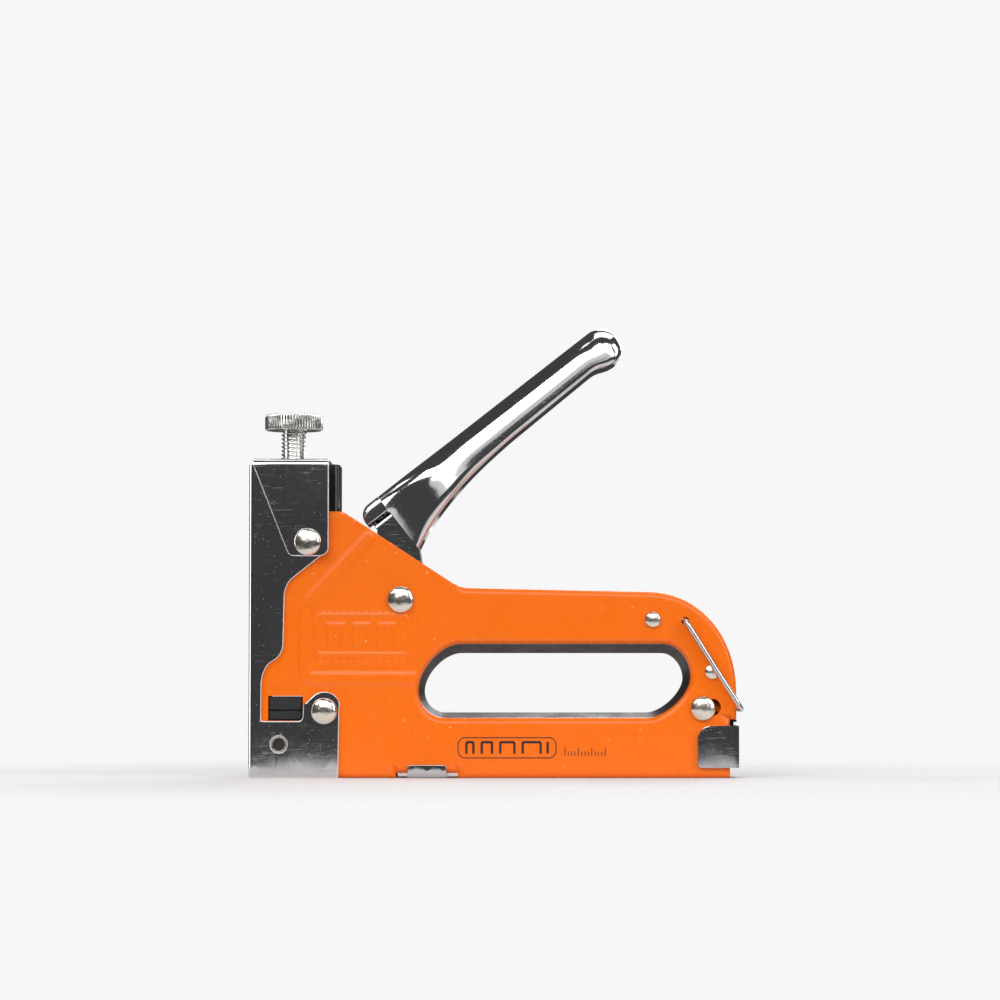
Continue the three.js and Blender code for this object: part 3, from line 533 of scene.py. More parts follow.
def carried(path, section, reference, closed=False):
    """A section (sideways, upwards) carried square along a path; upwards keeps to the reference direction.
    Ends are closed by drawing the last section together."""
    ahead = np.roll(path, -1, 0) - np.roll(path, 1, 0) if closed else np.gradient(path, axis=0)
    ahead /= np.linalg.norm(ahead, axis=1)[:, None]
    up = np.broadcast_to(np.asarray(reference, float), path.shape)
    up = up - (up * ahead).sum(1)[:, None] * ahead
    up /= np.linalg.norm(up, axis=1)[:, None]
    across = np.cross(ahead, up)
    if closed:
        before = path - np.roll(path, 1, 0)
        turn = (before / np.linalg.norm(before, axis=1)[:, None] * ahead).sum(1)
        across = across / np.maximum(turn, 0.5)[:, None]
    rows = path[:, None] + across[:, None] * section[:, :1] + up[:, None] * section[:, 1:]
    if not closed:
        rows = np.concatenate([path[:1, None] + 0 * rows[:1], rows, path[-1:, None] + 0 * rows[-1:]])
    return rows.reshape(-1, 3), grid_faces(len(rows), len(section), closed, True)


black_ink, tree, shader, coords = new_finish("black_ink")
gloss = use_group(tree, patchy_group, {"Coordinates": coords, "Coarse": 200.0, "Fine": 3000.0, "Low": 0.35,
                                       "High": 0.55})
worn = add(tree, "TexNoise", {"Vector": coords, "Scale": 1400.0, "Detail": 4.0})
tone = add(tree, "Mix", {0: worn.outputs["Fac"], 6: (0.006, 0.006, 0.007, 1), 7: (0.030, 0.022, 0.018, 1)},
           data_type="RGBA")
feed(shader, {"Base Color": tone.outputs[2], "Roughness": gloss["Roughness"]})


def ink_line(points, width, side, closed=False):
    """A printed line of a width along points (x, z) on one flank."""
    points = np.asarray(points, float)
    flat = divided(points, 2.0, closed)
    path = np.stack([flat[:, 0], np.full(len(flat), side * shell_face), flat[:, 1]], 1)
    half, proud = width / 2, 0.045
    section = np.array([(-half, -0.05), (half, -0.05), (half, proud), (-half, proud)])
    return carried(path, section, (0, side, 0), closed)


panel_corners = ((65.6, 6.3), (96.2, 6.3), (96.2, 12.6), (65.6, 12.6))
panel_box = rounded_outline([(x, z, 1.6, 1.6, 0.2) for x, z in panel_corners], 3)
staple_signs = [[(x, 7.6), (x, 11.2), (x + w, 11.2), (x + w, 7.6)]
                for x, w in ((68.2, 2.2), (73.0, 3.2), (78.8, 4.4), (85.8, 5.6))]
for side, name in ((-1, "size_marks_left"), (1, "size_marks_right")):
    lines = [ink_line(panel_box, 0.3, side, closed=True)]
    lines += [ink_line(leg, 0.75, side) for sign in staple_signs for leg in zip(sign[:-1], sign[1:])]
    lines += [ink_line([(93.6, 7.7), (93.6, 11.3)], 0.75, side)]
    lines += [ink_line([(99 + 1.05 * i, 7.0), (99 + 1.05 * i, 9.4 if i % 4 == 0 else 8.3)], 0.28, side)
              for i in range(13)]
    place(make_piece(name, lines, [black_ink]), "frame", "black_paint")

# ---- Chrome sheet parts fixed to the body ------------------------------------------------------------
# Nose cover, adjuster bracket and magazine strap: each one is a flat blank of chrome-plated steel folded to
# a U. The nose cover wraps the front, the bracket is folded over the top, the strap under the magazine.


def folded_sheet(name, ends, flange, half, sheet, put, outward, materials, holes=(), bend=1.9, tidy=0.2,
                 highlight_finish=None):
    """A blank folded to a U: its web spans -half..half, and each flange has the outline flange, given as
    (along the fold, depth from the web's face) from one end of the fold to the other. Round the folds the
    surface follows a quarter circle: across = flat + bend sin a, depth = bend (1 - cos a)."""
    flat_web = half - bend
    turn = np.linspace(0, np.pi / 2, 8)
    rows = flat_web + bend * turn
    flange = np.vstack([(ends[0], bend + 0.01), flange, (ends[1], bend + 0.01)])
    flange = divided(flange, 1.6, closed=False)[1:-1]
    side = np.stack([flange[:, 0], flat_web + bend * np.pi / 2 + flange[:, 1] - bend], 1)
    first = np.stack([np.full(8, float(ends[0])), rows], 1)
    last = np.stack([np.full(8, float(ends[1])), rows], 1)
    mirror = np.array([1, -1])
    loop = np.vstack([first, side, last[::-1], last * mirror, side[::-1] * mirror, first[::-1] * mirror])
    along = np.linspace(ends[0], ends[1], max(3, int(abs(ends[1] - ends[0]) / 4)))
    folds = [np.stack([along, np.full(len(along), s * row)], 1) for row in rows for s in (-1, 1)]
    blank, faces = cut_blank([loop, *holes], folds=folds)
    across = np.abs(blank[:, 1])
    angle = np.clip((across - flat_web) / bend, 0, np.pi / 2)
    y = np.sign(blank[:, 1]) * (np.minimum(across, flat_web) + bend * np.sin(angle))
    deep = bend * (1 - np.cos(angle)) + np.maximum(across - flat_web - bend * np.pi / 2, 0)
    piece = make_piece(name, [(put(blank[:, 0], y, deep), faces)], materials, outward, sharp=60)
    give_sheet(piece, sheet, tidy, highlight_finish=highlight_finish)
    return piece


def flange_hole(along, deep, radius, half, bend=1.9):
    """The two round holes in a folded sheet's flanges, in the coordinates of its flat blank."""
    across = half - bend + bend * np.pi / 2 + deep - bend
    return [circle(along, across, radius), circle(along, -across, radius)]


# Fine scratches: noise stretched into long thin lines, in two directions, each broken up by a soft mask.
scratch_group, given, gives = effect_group("fine_scratches", {"Coordinates": "Vector", "Amount": "Float"},
                                           {"Mask": "Float"})
marks = []
for turn, length, width in ((0.5, 90.0, 7000.0), (-0.9, 130.0, 9000.0), (1.5, 60.0, 12000.0)):
    lay = add(scratch_group, "Mapping", {"Vector": given["Coordinates"], "Rotation": (0.25, turn, 0.1),
                                         "Scale": (length, 600.0, width)})
    streak = add(scratch_group, "TexNoise", {"Vector": lay.outputs[0], "Scale": 1.0, "Detail": 1.0})
    thin = add(scratch_group, "MapRange", {"Value": streak.outputs["Fac"], "From Min": 0.70,
                                           "From Max": 0.76})
    broken = add(scratch_group, "TexNoise", {"Vector": given["Coordinates"], "Scale": 60.0 + 40 * turn,
                                             "Detail": 2.0})
    broken = add(scratch_group, "MapRange", {"Value": broken.outputs["Fac"], "From Min": 0.5,
                                             "From Max": 0.7})
    marks.append(add(scratch_group, "Math", {0: thin.outputs[0], 1: broken.outputs[0]}, operation="MULTIPLY"))
most = add(scratch_group, "Math", {0: marks[0].outputs[0], 1: marks[1].outputs[0]}, operation="MAXIMUM")
most = add(scratch_group, "Math", {0: most.outputs[0], 1: marks[2].outputs[0]}, operation="MAXIMUM")
most = add(scratch_group, "Math", {0: most.outputs[0], 1: given["Amount"]}, operation="MULTIPLY")
feed(gives, {"Mask": most.outputs[0]})


def plated(name, bright, dull, low, high, scratches, specks, wave=0.10, wave_size=45.0):
    """A plated metal: bright plating that is duller and rougher in scratches and specks, with the slight
    waviness of rolled sheet. Returns the material."""
    material, tree, shader, coords = new_finish(name)
    lines = use_group(tree, scratch_group, {"Coordinates": coords, "Amount": scratches})
    pits = use_group(tree, specks_group, {"Coordinates": coords, "Per Metre": 1500.0, "Size": 0.20,
                                          "Sparseness": specks})
    gloss = use_group(tree, patchy_group, {"Coordinates": coords, "Coarse": 70.0, "Fine": 1200.0, "Low": low,
                                           "High": high})
    flaws = add(tree, "Math", {0: lines["Mask"], 1: pits["Mask"]}, operation="MAXIMUM", use_clamp=True)
    colour = add(tree, "Mix", {0: flaws.outputs[0], 6: bright, 7: dull}, data_type="RGBA")
    rough = add(tree, "Mix", {0: flaws.outputs[0], 2: gloss["Roughness"], 3: 0.55})
    swell = add(tree, "TexNoise", {"Vector": coords, "Scale": wave_size, "Detail": 2.0})
    swell_bump = add(tree, "Bump", {"Height": swell.outputs["Fac"], "Strength": wave, "Distance": 0.002})
    cut_bump = add(tree, "Bump", {"Height": flaws.outputs[0], "Strength": 0.15, "Distance": 0.00005, "Normal":
                                  swell_bump.outputs["Normal"]}, invert=True)
    feed(shader, {"Base Color": colour.outputs[2], "Metallic": 1.0, "Roughness": rough.outputs[0],
                  "Normal": cut_bump.outputs["Normal"]})
    return material


chrome = plated("chrome_plate", (0.62, 0.62, 0.635, 1), (0.40, 0.40, 0.41, 1), 0.05, 0.12, 0.7, 0.90)
# Satin metal for the bare cut edges. It is lighter than the chrome so that the eased edges carry painted
# highlight lines.
edge_highlight_metal = plated("satin_cut_edge_painted_highlight", (0.88, 0.88, 0.89, 1), (0.60, 0.60, 0.60, 1), 0.42, 0.55, 0.3, 0.92)

nose_outline = np.vstack([
    [(0.0, 28.2), (21.0, 28.5)],
    [(21.9 + 5.1 * math.sin(a), 23.7 + 5.1 * math.cos(a)) for a in np.linspace(0.2, 2.4, 12)],
    rounded_outline([(23.4, 17.0, 1, 1.6, 0.55), (17.8, 17.0, 1.4, 1.4, 0.55), (17.8, 4.1, 0.6, 0.6, 0.55),
                     (34.5, 4.2, 5.5, 3.4, 0.55), (38.2, 10.9, 3.4, 3.2, 0.55), (60.5, 11.4, 3.4, 3.0, 0.55),
                     (69.7, 23.0), (200.0, 23.0), (200.0, 40.0), (23.4, 40.0)], 6)[:-3],
    [(98.3, 23.0)],
])
nose_outline = nose_outline[nose_outline[:, 0] <= 98.3]
nose_cover = folded_sheet(
    "nose_cover_folded", (0.0, 98.3), nose_outline, 12.2, 1.1,
    lambda along, y, deep: np.stack([deep, y, along], 1), (-1, 0, 0), [chrome],
    holes=[*flange_hole(10.5, 9.6, 2.55, 12.2)], tidy=0.3, highlight_finish=edge_highlight_metal)
place(nose_cover, "frame", "chrome_plate", "nose_cover")

bracket_outline = np.array([(1.4, 2.2), (11.9, 28.7), (12.5, 29.9), (13.8, 30.6), (22.8, 30.6), (24.2, 30.0),
                            (25.1, 28.6)])
bracket = folded_sheet(
    "adjuster_bracket_folded", (1.2, 25.1), bracket_outline, 13.7, 1.4,
    lambda along, y, deep: np.stack([along, y, 99.9 - deep], 1), (0, 0, 1), [chrome],
    holes=[circle(13.4, 0, 4.35)], tidy=0.3, highlight_finish=edge_highlight_metal)
place(bracket, "frame", "chrome_plate", "adjuster_bracket")

strap_outline = np.array([(49.8, 3.5), (50.4, 4.1), (61.4, 4.1), (62.0, 3.5)])
strap = folded_sheet(
    "magazine_strap_folded", (49.8, 62.0), strap_outline, 12.2, 1.1,
    lambda along, y, deep: np.stack([along, y, deep], 1), (0, 0, -1), [chrome], bend=1.5)
place(strap, "frame", "chrome_plate", "magazine_strap")

# ---- Inner frame -------------------------------------------------------------------------------------
# The plunger guide, a U of 1.2 mm steel with its web to the rear, dipped in gloss black.
# The lift arm reaches in through the window in its web.
gloss_black, tree, shader, coords = new_finish("gloss_black")
dust = use_group(tree, specks_group, {"Coordinates": coords, "Per Metre": 500.0, "Size": 0.2,
                                      "Sparseness": 0.9})
gloss = use_group(tree, patchy_group, {"Coordinates": coords, "Coarse": 60.0, "Fine": 900.0, "Low": 0.10,
                                       "High": 0.22})
tone = add(tree, "Mix", {0: dust["Mask"], 6: (0.006, 0.006, 0.0065, 1), 7: (0.05, 0.05, 0.05, 1)},
           data_type="RGBA")
run = add(tree, "TexNoise", {"Vector": coords, "Scale": 130.0, "Detail": 1.0})
run_bump = add(tree, "Bump", {"Height": run.outputs["Fac"], "Strength": 0.15, "Distance": 0.0006})
feed(shader, {"Base Color": tone.outputs[2], "Roughness": gloss["Roughness"], "Coat Weight": 0.2,
              "Coat Roughness": 0.08, "Normal": run_bump.outputs["Normal"]})

frame_outline = np.array([(27.0, 24.6), (27.4, 25.0), (97.9, 25.0), (98.3, 24.6)])
inner_frame = folded_sheet(
    "plunger_guide_frame", (27.0, 98.3), frame_outline, 9.6, 1.2,
    lambda along, y, deep: np.stack([28.3 - deep, y, along], 1), (1, 0, 0), [gloss_black],
    holes=[divided(rounded_outline([(38, -4.6, 1, 1, 0.55), (72, -4.6, 1, 1, 0.55), (72, 4.6, 1, 1, 0.55),
                                    (38, 4.6, 1, 1, 0.55)], 4), 3)], bend=2.2)
place(inner_frame, "frame", "black_paint", "inner_frame")

# ---- Rivets ------------------------------------------------------------------------------------------
# Cold-headed steel rivets, plated in warm zinc-nickel: a low dome each side on a plain shank.
# The two at the bracket are separate, short ones; the others go right across the tool.
warm_plate = plated("rivet_plate", (0.80, 0.75, 0.66, 1), (0.45, 0.41, 0.35, 1), 0.14, 0.26, 0.6, 0.85,
                    0.16, 260.0)


def turned(profile, spot, axis="y", sides=48, teeth=0):
    """A profile of (radius, along, depth of knurl) turned about an axis through spot. With teeth, the radius
    falls by the knurl's depth in each groove: r = radius - depth (0.5 - 0.5 cos(teeth angle)) ^ 0.7."""
    profile = np.asarray(profile, float)
    angle = np.linspace(0, 2 * np.pi, sides, endpoint=False)
    radius = np.repeat(profile[:, :1], sides, 1)
    if teeth:
        radius = radius - profile[:, 2:] * (0.5 - 0.5 * np.cos(teeth * angle)) ** 0.7
    a, b, c = radius * np.cos(angle), radius * np.sin(angle), np.repeat(profile[:, 1:2], sides, 1)
    x, z = spot
    order = {"y": (x + a, c, z + b), "z": (x + a, b, c), "x": (c, a, z + b)}[axis]
    return np.stack(order, 2).reshape(-1, 3), grid_faces(len(profile), sides, columns_close=True)


def rivet_profile(head, rise, shank, low, high, domes=(True, True)):
    """Half section of a rivet between two faces: each head is an elliptic dome over a short upright rim."""
    t = np.linspace(0, np.pi / 2, 12)
    skirt = 0.22 * rise
    dome = np.stack([head * np.sin(t), skirt + (rise - skirt) * np.cos(t)], 1)
    dome = np.vstack([dome, [(head - 0.02, skirt * 0.5), (head - 0.18, 0.0), (shank, 0.0)]])
    left = np.stack([dome[:, 0], low - dome[:, 1]], 1) if domes[0] else np.array([(0.0, low), (shank, low)])
    right = (np.stack([dome[:, 0], high + dome[:, 1]], 1)[::-1] if domes[1]
             else np.array([(shank, high), (0.0, high)]))
    return np.vstack([left, right])


for node, x, z, head, rise, shank, low, high, domes in (
        ("bracket_rivet_left", 18.5, 73.8, 4.25, 2.0, 2.0, -13.8, -8.5, (True, False)),
        ("bracket_rivet_right", 18.5, 73.8, 4.25, 2.0, 2.0, 8.5, 13.8, (False, True)),
        ("handle_pivot_rivet", 47.6, 55.8, 4.25, 2.1, 3.0, -11.1, 11.1, (True, True)),
        ("nose_rivet", 23.7, 20.9, 4.1, 2.0, 2.0, -12.3, 12.3, (True, True)),
        ("rear_rivet", 142.2, 21.7, 3.9, 1.9, 1.8, -11.1, 11.1, (True, True)),
        ("grip_rivet", 126.6, 49.5, 2.5, 1.2, 1.3, -11.1, 11.1, (True, True)),
        ("tail_rivet", 145.1, 33.2, 2.4, 1.2, 1.3, -11.1, 11.1, (True, True))):
    part = turned(rivet_profile(head, rise, shank, low, high, domes), (x, z))
    place(make_piece(node + "_headed", [part], [warm_plate]), "frame", "zinc_plate", node)

# ---- Roll pins ---------------------------------------------------------------------------------------
# Slit tubes rolled from spring steel that hold the nose cover to the shells. A dark plug in each bore
# is painted shade, standing in for the shade deep inside the tube.
spring_steel = plated("bright_spring_steel", (0.66, 0.65, 0.63, 1), (0.34, 0.33, 0.32, 1), 0.16, 0.32,
                      0.7, 0.82, 0.10, 300.0)
slit_angle = math.radians(205)
for side, node in ((-1, "roll_pin_left"), (1, "roll_pin_right")):
    round_angle = np.linspace(slit_angle + 0.16, slit_angle + 2 * np.pi - 0.16, 49)
    section = np.array([(1.95, 8.3), (2.32, 8.3), (2.42, 8.4), (2.42, 12.2), (2.28, 12.4), (2.0, 12.4),
                        (1.88, 12.2), (1.88, 8.4)])
    radius, out = section[:, 0], section[:, 1]
    rows = np.stack([pin_x + radius * np.cos(round_angle)[:, None], side * np.broadcast_to(out, (49, 8)),
                     pin_z + radius * np.sin(round_angle)[:, None]], 2)
    closing = rows[[0, -1]].mean(1, keepdims=True) + 0 * rows[[0, -1]]
    rows = np.concatenate([closing[:1], rows, closing[1:]])
    # A dark disc in the bore, in the painted-shade material: painted shade for the deep inside of the tube.
    bore_painted_shade = turned([(0.0, side * 9.2), (1.9, side * 9.2), (1.9, side * 11.3), (0.0, side * 11.2)],
                         (pin_x, pin_z))
    pin = make_piece(node + "_slit", [(rows.reshape(-1, 3), grid_faces(51, 8, columns_close=True)),
                                      (*bore_painted_shade, 1)], [spring_steel, painted_shade_finish])
    place(pin, "frame", "bright_steel", node)

# ---- Bumper ------------------------------------------------------------------------------------------
# What the plunger lands on: a block of black rubber on a moulded seat, both showing through a window.
matt_rubber, tree, shader, coords = new_finish("matt_black_rubber")
gloss = use_group(tree, patchy_group, {"Coordinates": coords, "Coarse": 200.0, "Fine": 2500.0, "Low": 0.5,
                                       "High": 0.78})
dust = use_group(tree, specks_group, {"Coordinates": coords, "Per Metre": 1100.0, "Size": 0.25,
                                      "Sparseness": 0.8})
tone = add(tree, "Mix", {0: dust["Mask"], 6: (0.010, 0.011, 0.012, 1), 7: (0.06, 0.065, 0.07, 1)},
           data_type="RGBA")
grain = add(tree, "TexNoise", {"Vector": coords, "Scale": 3500.0, "Detail": 3.0})
grain_bump = add(tree, "Bump", {"Height": grain.outputs["Fac"], "Strength": 0.35, "Distance": 0.0001})
feed(shader, {"Base Color": tone.outputs[2], "Roughness": gloss["Roughness"],
              "Normal": grain_bump.outputs["Normal"]})


def plain_block(xs, ys, zs):
    """Six faces of a block between its limits."""
    x, y, z = (np.array(limits, float) for limits in (xs, ys, zs))
    points = np.array([(x[i], y[j], z[k]) for i in (0, 1) for j in (0, 1) for k in (0, 1)])
    faces = [(0, 1, 3, 2), (4, 6, 7, 5), (0, 4, 5, 1), (2, 3, 7, 6), (0, 2, 6, 4), (1, 5, 7, 3)]
    return points, np.array(faces)


for node, low, high, edge in (("bumper_pad", 21.1, 25.4, 0.55), ("bumper_seat", 18.1, 21.0, 0.4)):
    block = make_piece(node + "_block", [plain_block((6.4, 16.8), (-10.8, 10.8), (low, high))], [matt_rubber])
    ease_edges(block, edge)
    place(block, "frame", "black_rubber" if node == "bumper_pad" else "black_paint", node)

# ---- Handle ------------------------------------------------------------------------------------------
# The squeeze lever: a palm drawn from 1.3 mm steel sheet to a deep inverted trough with a closed tip and
# rolled lower edges, welded over a narrow folded root that carries the pivot. Polished and chromed.
pivot_x, pivot_z, lever_angle = 47.6, 55.8, math.radians(38)


def on_lever(u, y, v):
    """Lever coordinates (along the handle, across, up) to tool millimetres."""
    return np.stack([pivot_x + u * math.cos(lever_angle) - v * math.sin(lever_angle), y,
                     pivot_z + u * math.sin(lever_angle) + v * math.cos(lever_angle)], -1)


handle_chrome = plated("handle_chrome", (0.70, 0.70, 0.71, 1), (0.45, 0.45, 0.46, 1), 0.06, 0.13, 0.35, 0.96,
                       0.05, 30.0)
tongue_reach, palm_reach, tip_reach, tip_round, palm_top = 6.0, 14.2, 104.4, 6.0, 30.3


def palm_surface(stations, around):
    """The palm's skin. Across, each section is half a superellipse |y/w|^n + |v/b|^n = 1 on upright walls
    that flare near the root and end in a quarter-round curl. Along, a shallow tongue lies over the root, the
    half width eases from 8.4 to 12, the corners soften, the lower edge follows the crook, and the last 6 mm
    round off to a closed tip."""
    tongue = np.clip(-stations, 0, 1) * (palm_reach - tongue_reach)
    along = np.clip(stations, 0, 1)
    over = np.clip(stations - 1, 0, 1)
    shut = np.clip(stations - 2, 0, 1)
    u = palm_reach + (tip_reach - tip_round - palm_reach) * along
    u = u + tip_round * np.sin(over * np.pi / 2) - tongue
    inset = tip_round * (1 - np.cos(over * np.pi / 2)) * 0.8
    ease = smooth_step((u - palm_reach) / 20)
    wide = 8.4 + 3.6 * ease - inset
    power = 4.6 - 2.2 * smooth_step((u - palm_reach) / 30)
    t = np.linspace(0, 1, 30)
    crook = np.stack([(1 - t) ** 2 * palm_reach + 2 * t * (1 - t) * 30 + t ** 2 * 60,
                      (1 - t) ** 2 * 8.9 + 2 * t * (1 - t) * 17.4 + t ** 2 * 18.6], 1)
    crook = np.vstack([crook, [(92, 19.4), (94, 18.9), (96.5, 17.8), (99.4, 17.4), (102, 18.2), (103.6, 19.8),
                               (104.4, 22.4)]])
    low = np.where(stations < 0, 24.7, np.interp(u, crook[:, 0], crook[:, 1]))
    curl = np.where(stations < 0, 0.5, 2.7 - 1.1 * smooth_step((u - 34) / 22))
    nose = np.clip(-2 * stations - 1, 0, 1)
    top = palm_top - inset - 4.4 * (1 - np.sqrt(1 - nose ** 2))
    arch = (0.66 + 0.22 * smooth_step((u - 20) / 20)) * (top - low - curl)
    flare = np.where(stations < 0, 0.0, 2.6 * (1 - smooth_step((u - 22) / 22)))
    wide, top, low, arch, power, curl, flare = (
        value[:, None] for value in (wide, top, low, arch, power, curl, flare))
    side, rank = np.sign(around), np.abs(around)
    bow = np.clip(rank, 0, 1) * np.pi / 2
    fall = np.clip(rank - 1, 0, 1)
    roll = np.clip(rank - 2, 0, 1) * np.pi / 2
    v = top - arch + arch * np.abs(np.cos(bow)) ** (2 / power)
    v = v - fall * (top - arch - low - curl) - curl * np.sin(roll)
    y = side * (wide * np.sin(bow) ** (2 / power) + flare * (top - v) / (top - low)
                - curl * (1 - np.cos(roll)))
    return on_lever(np.broadcast_to(u[:, None], y.shape), y * (1 - shut)[:, None], v)


stations = np.concatenate([-np.sin(np.linspace(np.pi / 2, 0.02, 14)), np.linspace(0, 1, 60),
                           1 + np.linspace(0.1, 1, 10), [2.35, 2.7, 3.0]])
quarter = np.concatenate([np.linspace(0.001, 1, 20) ** 0.8, 1 + np.linspace(0.15, 1, 6),
                          2 + np.linspace(0.2, 1, 5)])
around = np.concatenate([-quarter[::-1], quarter])
palm_points = palm_surface(stations, around).reshape(-1, 3)
palm = make_piece("handle_palm", [(palm_points, grid_faces(len(stations), len(around)))], [handle_chrome],
                  outward=(-math.sin(lever_angle), 0, math.cos(lever_angle)), sharp=70)
give_sheet(palm, 1.3, 0.3, even=False)
place(palm, "handle", "chrome_plate", "handle_lever")

hub = np.linspace(math.radians(-18), math.radians(-195), 18)
root_outline = np.vstack([
    [(20.5, 9.6), (19.5, 11.2), (15.0, 14.6)],
    np.stack([8.5 * np.cos(hub), 24.4 - 8.5 * np.sin(hub)], 1),
    [(7.6, 2.4)],
])[::-1]
root = folded_sheet(
    "handle_root", (7.6, 20.5), root_outline, 6.6, 1.3,
    lambda along, y, deep: on_lever(along, y, 24.4 - deep),
    (-math.sin(lever_angle), 0, math.cos(lever_angle)), [chrome], bend=2.0)
place(root, "handle", "chrome_plate")

part = turned(rivet_profile(2.6, 0.8, 1.5, -6.7, 6.7), on_lever(1.0, 0.0, 13.0)[[0, 2]], sides=32)
place(make_piece("lift_arm_rivet_headed", [part], [warm_plate]), "handle", "zinc_plate", "lift_arm_rivet")

# ---- Power adjuster ----------------------------------------------------------------------------------
# A turned and knurled steel knob pressed on an M8 screw, both bright zinc plated. Turning it clockwise
# drives the spring seat down on the main spring.
knob_plate = plated("knob_plate", (0.80, 0.79, 0.76, 1), (0.42, 0.42, 0.40, 1), 0.14, 0.26, 0.6, 0.86,
                    0.08, 300.0)
screw_x = 13.4
knob_profile = [
    (0, 114.2, 0), (3.2, 114.2, 0), (3.5, 114.35, 0), (4.3, 114.35, 0), (4.6, 114.05, 0), (5.2, 114.0, 0),
    (7.6, 114.0, 0), (8.0, 114.45, 0), (8.3, 114.6, 0), (8.75, 114.5, 0.05), (9.1, 114.1, 0.35),
    (9.2, 113.8, 0.5), (9.2, 110.2, 0.5), (9.1, 109.9, 0.35), (8.7, 109.55, 0.05), (8.3, 109.5, 0),
    (5.2, 109.5, 0), (4.9, 109.3, 0), (0, 109.3, 0),
]
knob = make_piece("knurled_knob", [turned(knob_profile, (screw_x, 0), "z", 480, teeth=60)], [knob_plate],
                  sharp=50)
place(knob, "adjuster", "zinc_plate", "adjuster_knob")

pitch = 1.25
height = np.concatenate([[90.2, 90.2, 90.6], np.arange(90.8, 109.2, pitch / 10), [109.3, 109.6, 109.6]])
angle = np.linspace(0, 2 * np.pi, 48, endpoint=False)
phase = (height[:, None] / pitch - angle / (2 * np.pi)) % 1
thread = 4.0 - 0.72 * (1 - np.clip(np.abs(phase - 0.5) * 2 * 1.25 - 0.12, 0, 1))
thread[[0, -1]] = 0
thread[[1, 2, -3, -2]] = 3.3
rows = np.stack([screw_x + thread * np.cos(angle), thread * np.sin(angle),
                 np.broadcast_to(height[:, None], thread.shape)], 2)
screw = make_piece("adjuster_screw_threaded",
                   [(rows.reshape(-1, 3), grid_faces(*thread.shape, columns_close=True))],
                   [knob_plate], sharp=50)
place(screw, "adjuster", "zinc_plate", "adjuster_screw")

# ---- Lock bail ---------------------------------------------------------------------------------------
# A bail of 1.7 mm spring wire that pivots in the shells. It swings up over the closed handle and locks it
# shut. At rest it points down, behind the rear of the body.


def round_section(radius, sides):
    """A circle as (sideways, upwards) points."""
    return circle(0, 0, radius, sides)


bail_path = bent_path([(bail_x, -8.8, bail_z), (bail_x, -13.35, bail_z), (154.0, -13.35, 21.5),
                       (154.0, 13.35, 21.5), (bail_x, 13.35, bail_z), (bail_x, 8.8, bail_z)], 2.2)
bail_side = (27.6, 0, 17.3)
bail = make_piece("lock_bail_wire", [carried(bail_path, round_section(0.85, 20), bail_side)], [spring_steel])
place(bail, "bail", "bright_steel", "lock_bail")

# ---- Magazine end cap and its catch ------------------------------------------------------------------
# A chromed U of sheet closes the magazine at the rear and carries the pusher rod. A black spring catch in
# it snaps under the shells' rear step.
cap_corners = [(3.2, 13.0, 1.2, 1.2, 0.55), (16.3, 13.0, 4.2, 4.2, 0.55), (16.3, 0.0), (3.2, 0.0)]
cap_outline = np.vstack([[(3.2, 11.8)], rounded_outline(cap_corners, 8)[:18], [(16.3, 3.0)]])
end_cap = folded_sheet(
    "end_cap_folded", (3.2, 16.3), cap_outline, 12.2, 1.1,
    lambda along, y, deep: np.stack([153.5 - deep, y, along], 1), (1, 0, 0), [chrome],
    holes=[circle(6.7, 0, 2.1, 20)], bend=1.7)
place(end_cap, "pusher", "chrome_plate", "end_cap")

catch_low, catch_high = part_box("end_cap_catch")
catch_xs = [(value - nose_x) / MM for value in (catch_low.x, catch_high.x)]
catch_zs = [value / MM for value in (catch_low.z, catch_high.z)]
catch = make_piece("catch_spring_tongue", [
    plain_block((catch_xs[0], catch_xs[0] + 1.2), (-4, 4), catch_zs),
    plain_block((catch_xs[0] + 0.6, catch_xs[1]), (-3.8, 3.8), (catch_zs[1] - 0.7, catch_zs[1])),
], [gloss_black])
ease_edges(catch, 0.15)
place(catch, "catch", "black_paint", "end_cap_catch")

# ---- Springs -----------------------------------------------------------------------------------------
# Cold-coiled spring wire: the main spring, the pusher spring on the rod and the torsion spring that opens the
# handle. The main spring is two lengths of one coil that meet at a fixed height, as the plunger presses it
# from below and the seat from above.


def helix(start, axis, radius, length, turns, dead=1.0, per_turn=24):
    """A coil about an axis: its angle grows evenly, its advance follows an S so that both ends close up."""
    t = np.linspace(0, 1, int(turns * per_turn) + 1)
    angle = 2 * np.pi * turns * t
    edge = dead / turns
    advance = length * (0.5 + 0.5 * np.clip((t - 0.5) / (0.5 - edge * 0.8), -1, 1))
    around_a, around_b = radius * np.cos(angle), radius * np.sin(angle)
    x, y, z = start
    if axis == "z":
        return np.stack([x + around_a, y + around_b, z + advance], 1)
    return np.stack([x + advance, y + around_a, z + around_b], 1)


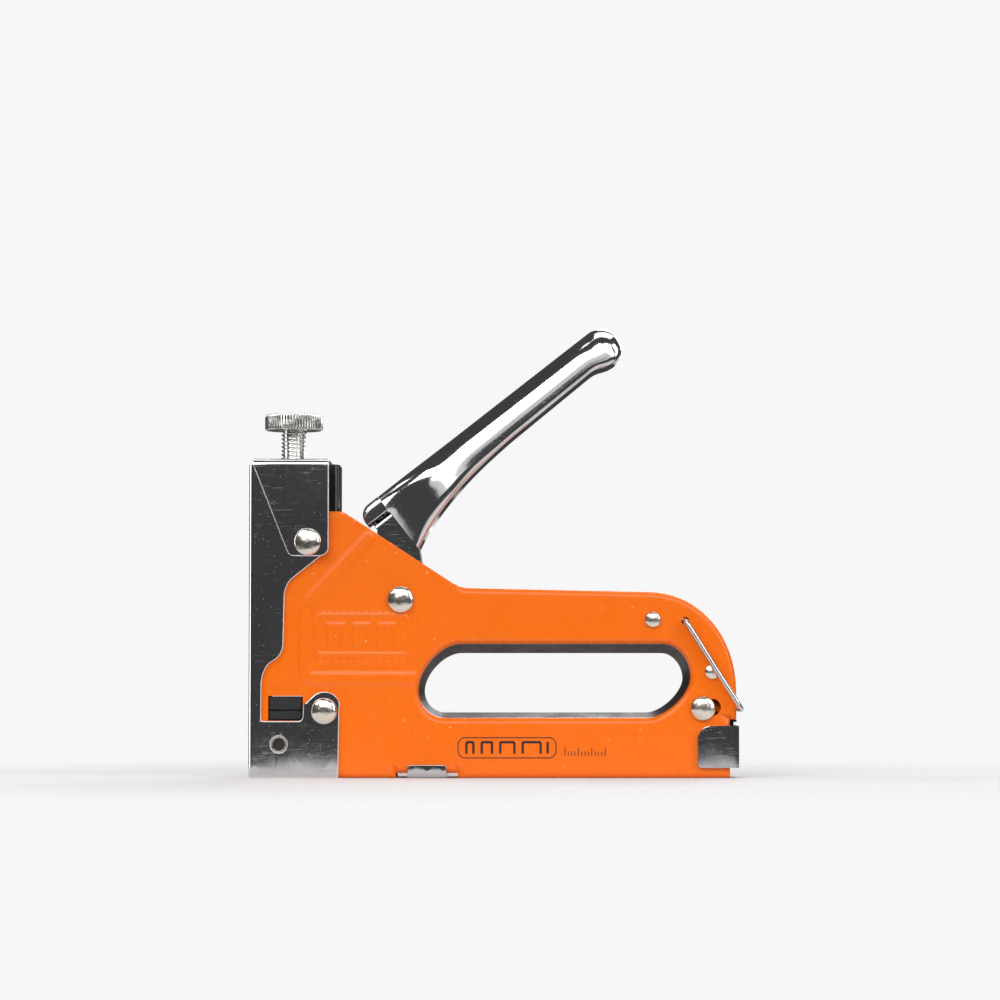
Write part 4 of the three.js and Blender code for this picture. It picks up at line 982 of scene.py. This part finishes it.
main_path = helix((screw_x, 0, 35.3), "z", 5.1, 51.1, 11)
main_split = int(np.searchsorted(main_path[:, 2], 69.0))
for end, path, joint, far_end, pressed, stands_for in (
        ("lower", main_path[:main_split + 1], "striker_lift", 34.4, 19.4, ["main_spring"]),
        ("upper", main_path[main_split:], "seat_travel", 87.3, 8.75, [])):
    coil = make_piece("main_spring_coil_" + end, [carried(path, round_section(0.9, 12), (0, 0, 1))],
                      [spring_steel])
    place(coil, "frame", "bright_steel", *stands_for)
    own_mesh(coil)

pusher_path = helix((17.6, 0, 6.7), "x", 2.75, 130.0, 34, per_turn=18)
pusher_spring = make_piece("pusher_spring_coil", [carried(pusher_path, round_section(0.35, 8), (1, 0, 0))],
                           [spring_steel])
place(pusher_spring, "pusher", "bright_steel", "pusher_spring")
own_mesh(pusher_spring)

turn_from, turn_to = math.radians(-51), math.radians(35) + 6 * np.pi
coil_radius, leg_a, leg_b = 4.7, 27.0, 21.0
coil_length = coil_radius * (turn_to - turn_from)
travel = np.concatenate([np.linspace(-leg_a, 0, 12), np.linspace(0, coil_length, 90)[1:],
                         coil_length + np.linspace(0, leg_b, 10)[1:]])
angle = turn_from + np.clip(travel / coil_radius, 0, turn_to - turn_from)
beyond = np.where(travel < 0, travel, np.maximum(travel - coil_length, 0))
torsion_path = np.stack([
    pivot_x + coil_radius * np.cos(angle) - beyond * np.sin(angle),
    -2.4 + 4.8 * np.clip(travel / coil_length, 0, 1),
    pivot_z + coil_radius * np.sin(angle) + beyond * np.cos(angle)], 1)
return_spring = make_piece("handle_return_spring_coil",
                           [carried(torsion_path, round_section(0.58, 12), (0, 1, 0))], [spring_steel])
place(return_spring, "frame", "bright_steel", "handle_return_spring")

# ---- Parts inside that keep their CAD shape ----------------------------------------------------------
# Machined and stamped steel, bare or lightly oiled: magazine channel, plunger, blade, seat, rod and shoe.
oiled_steel = plated("oiled_steel", (0.50, 0.49, 0.47, 1), (0.26, 0.25, 0.24, 1), 0.24, 0.42, 0.9, 0.8,
                     0.06, 200.0)
for node in ("magazine_channel", "bracket_nut", "lift_arm", "pivot_spacer_left", "pivot_spacer_right",
             "plunger", "driver_blade", "blade_pin", "spring_seat", "pusher_rod", "pusher_shoe"):
    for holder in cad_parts[node].material_slots:
        holder.material = oiled_steel
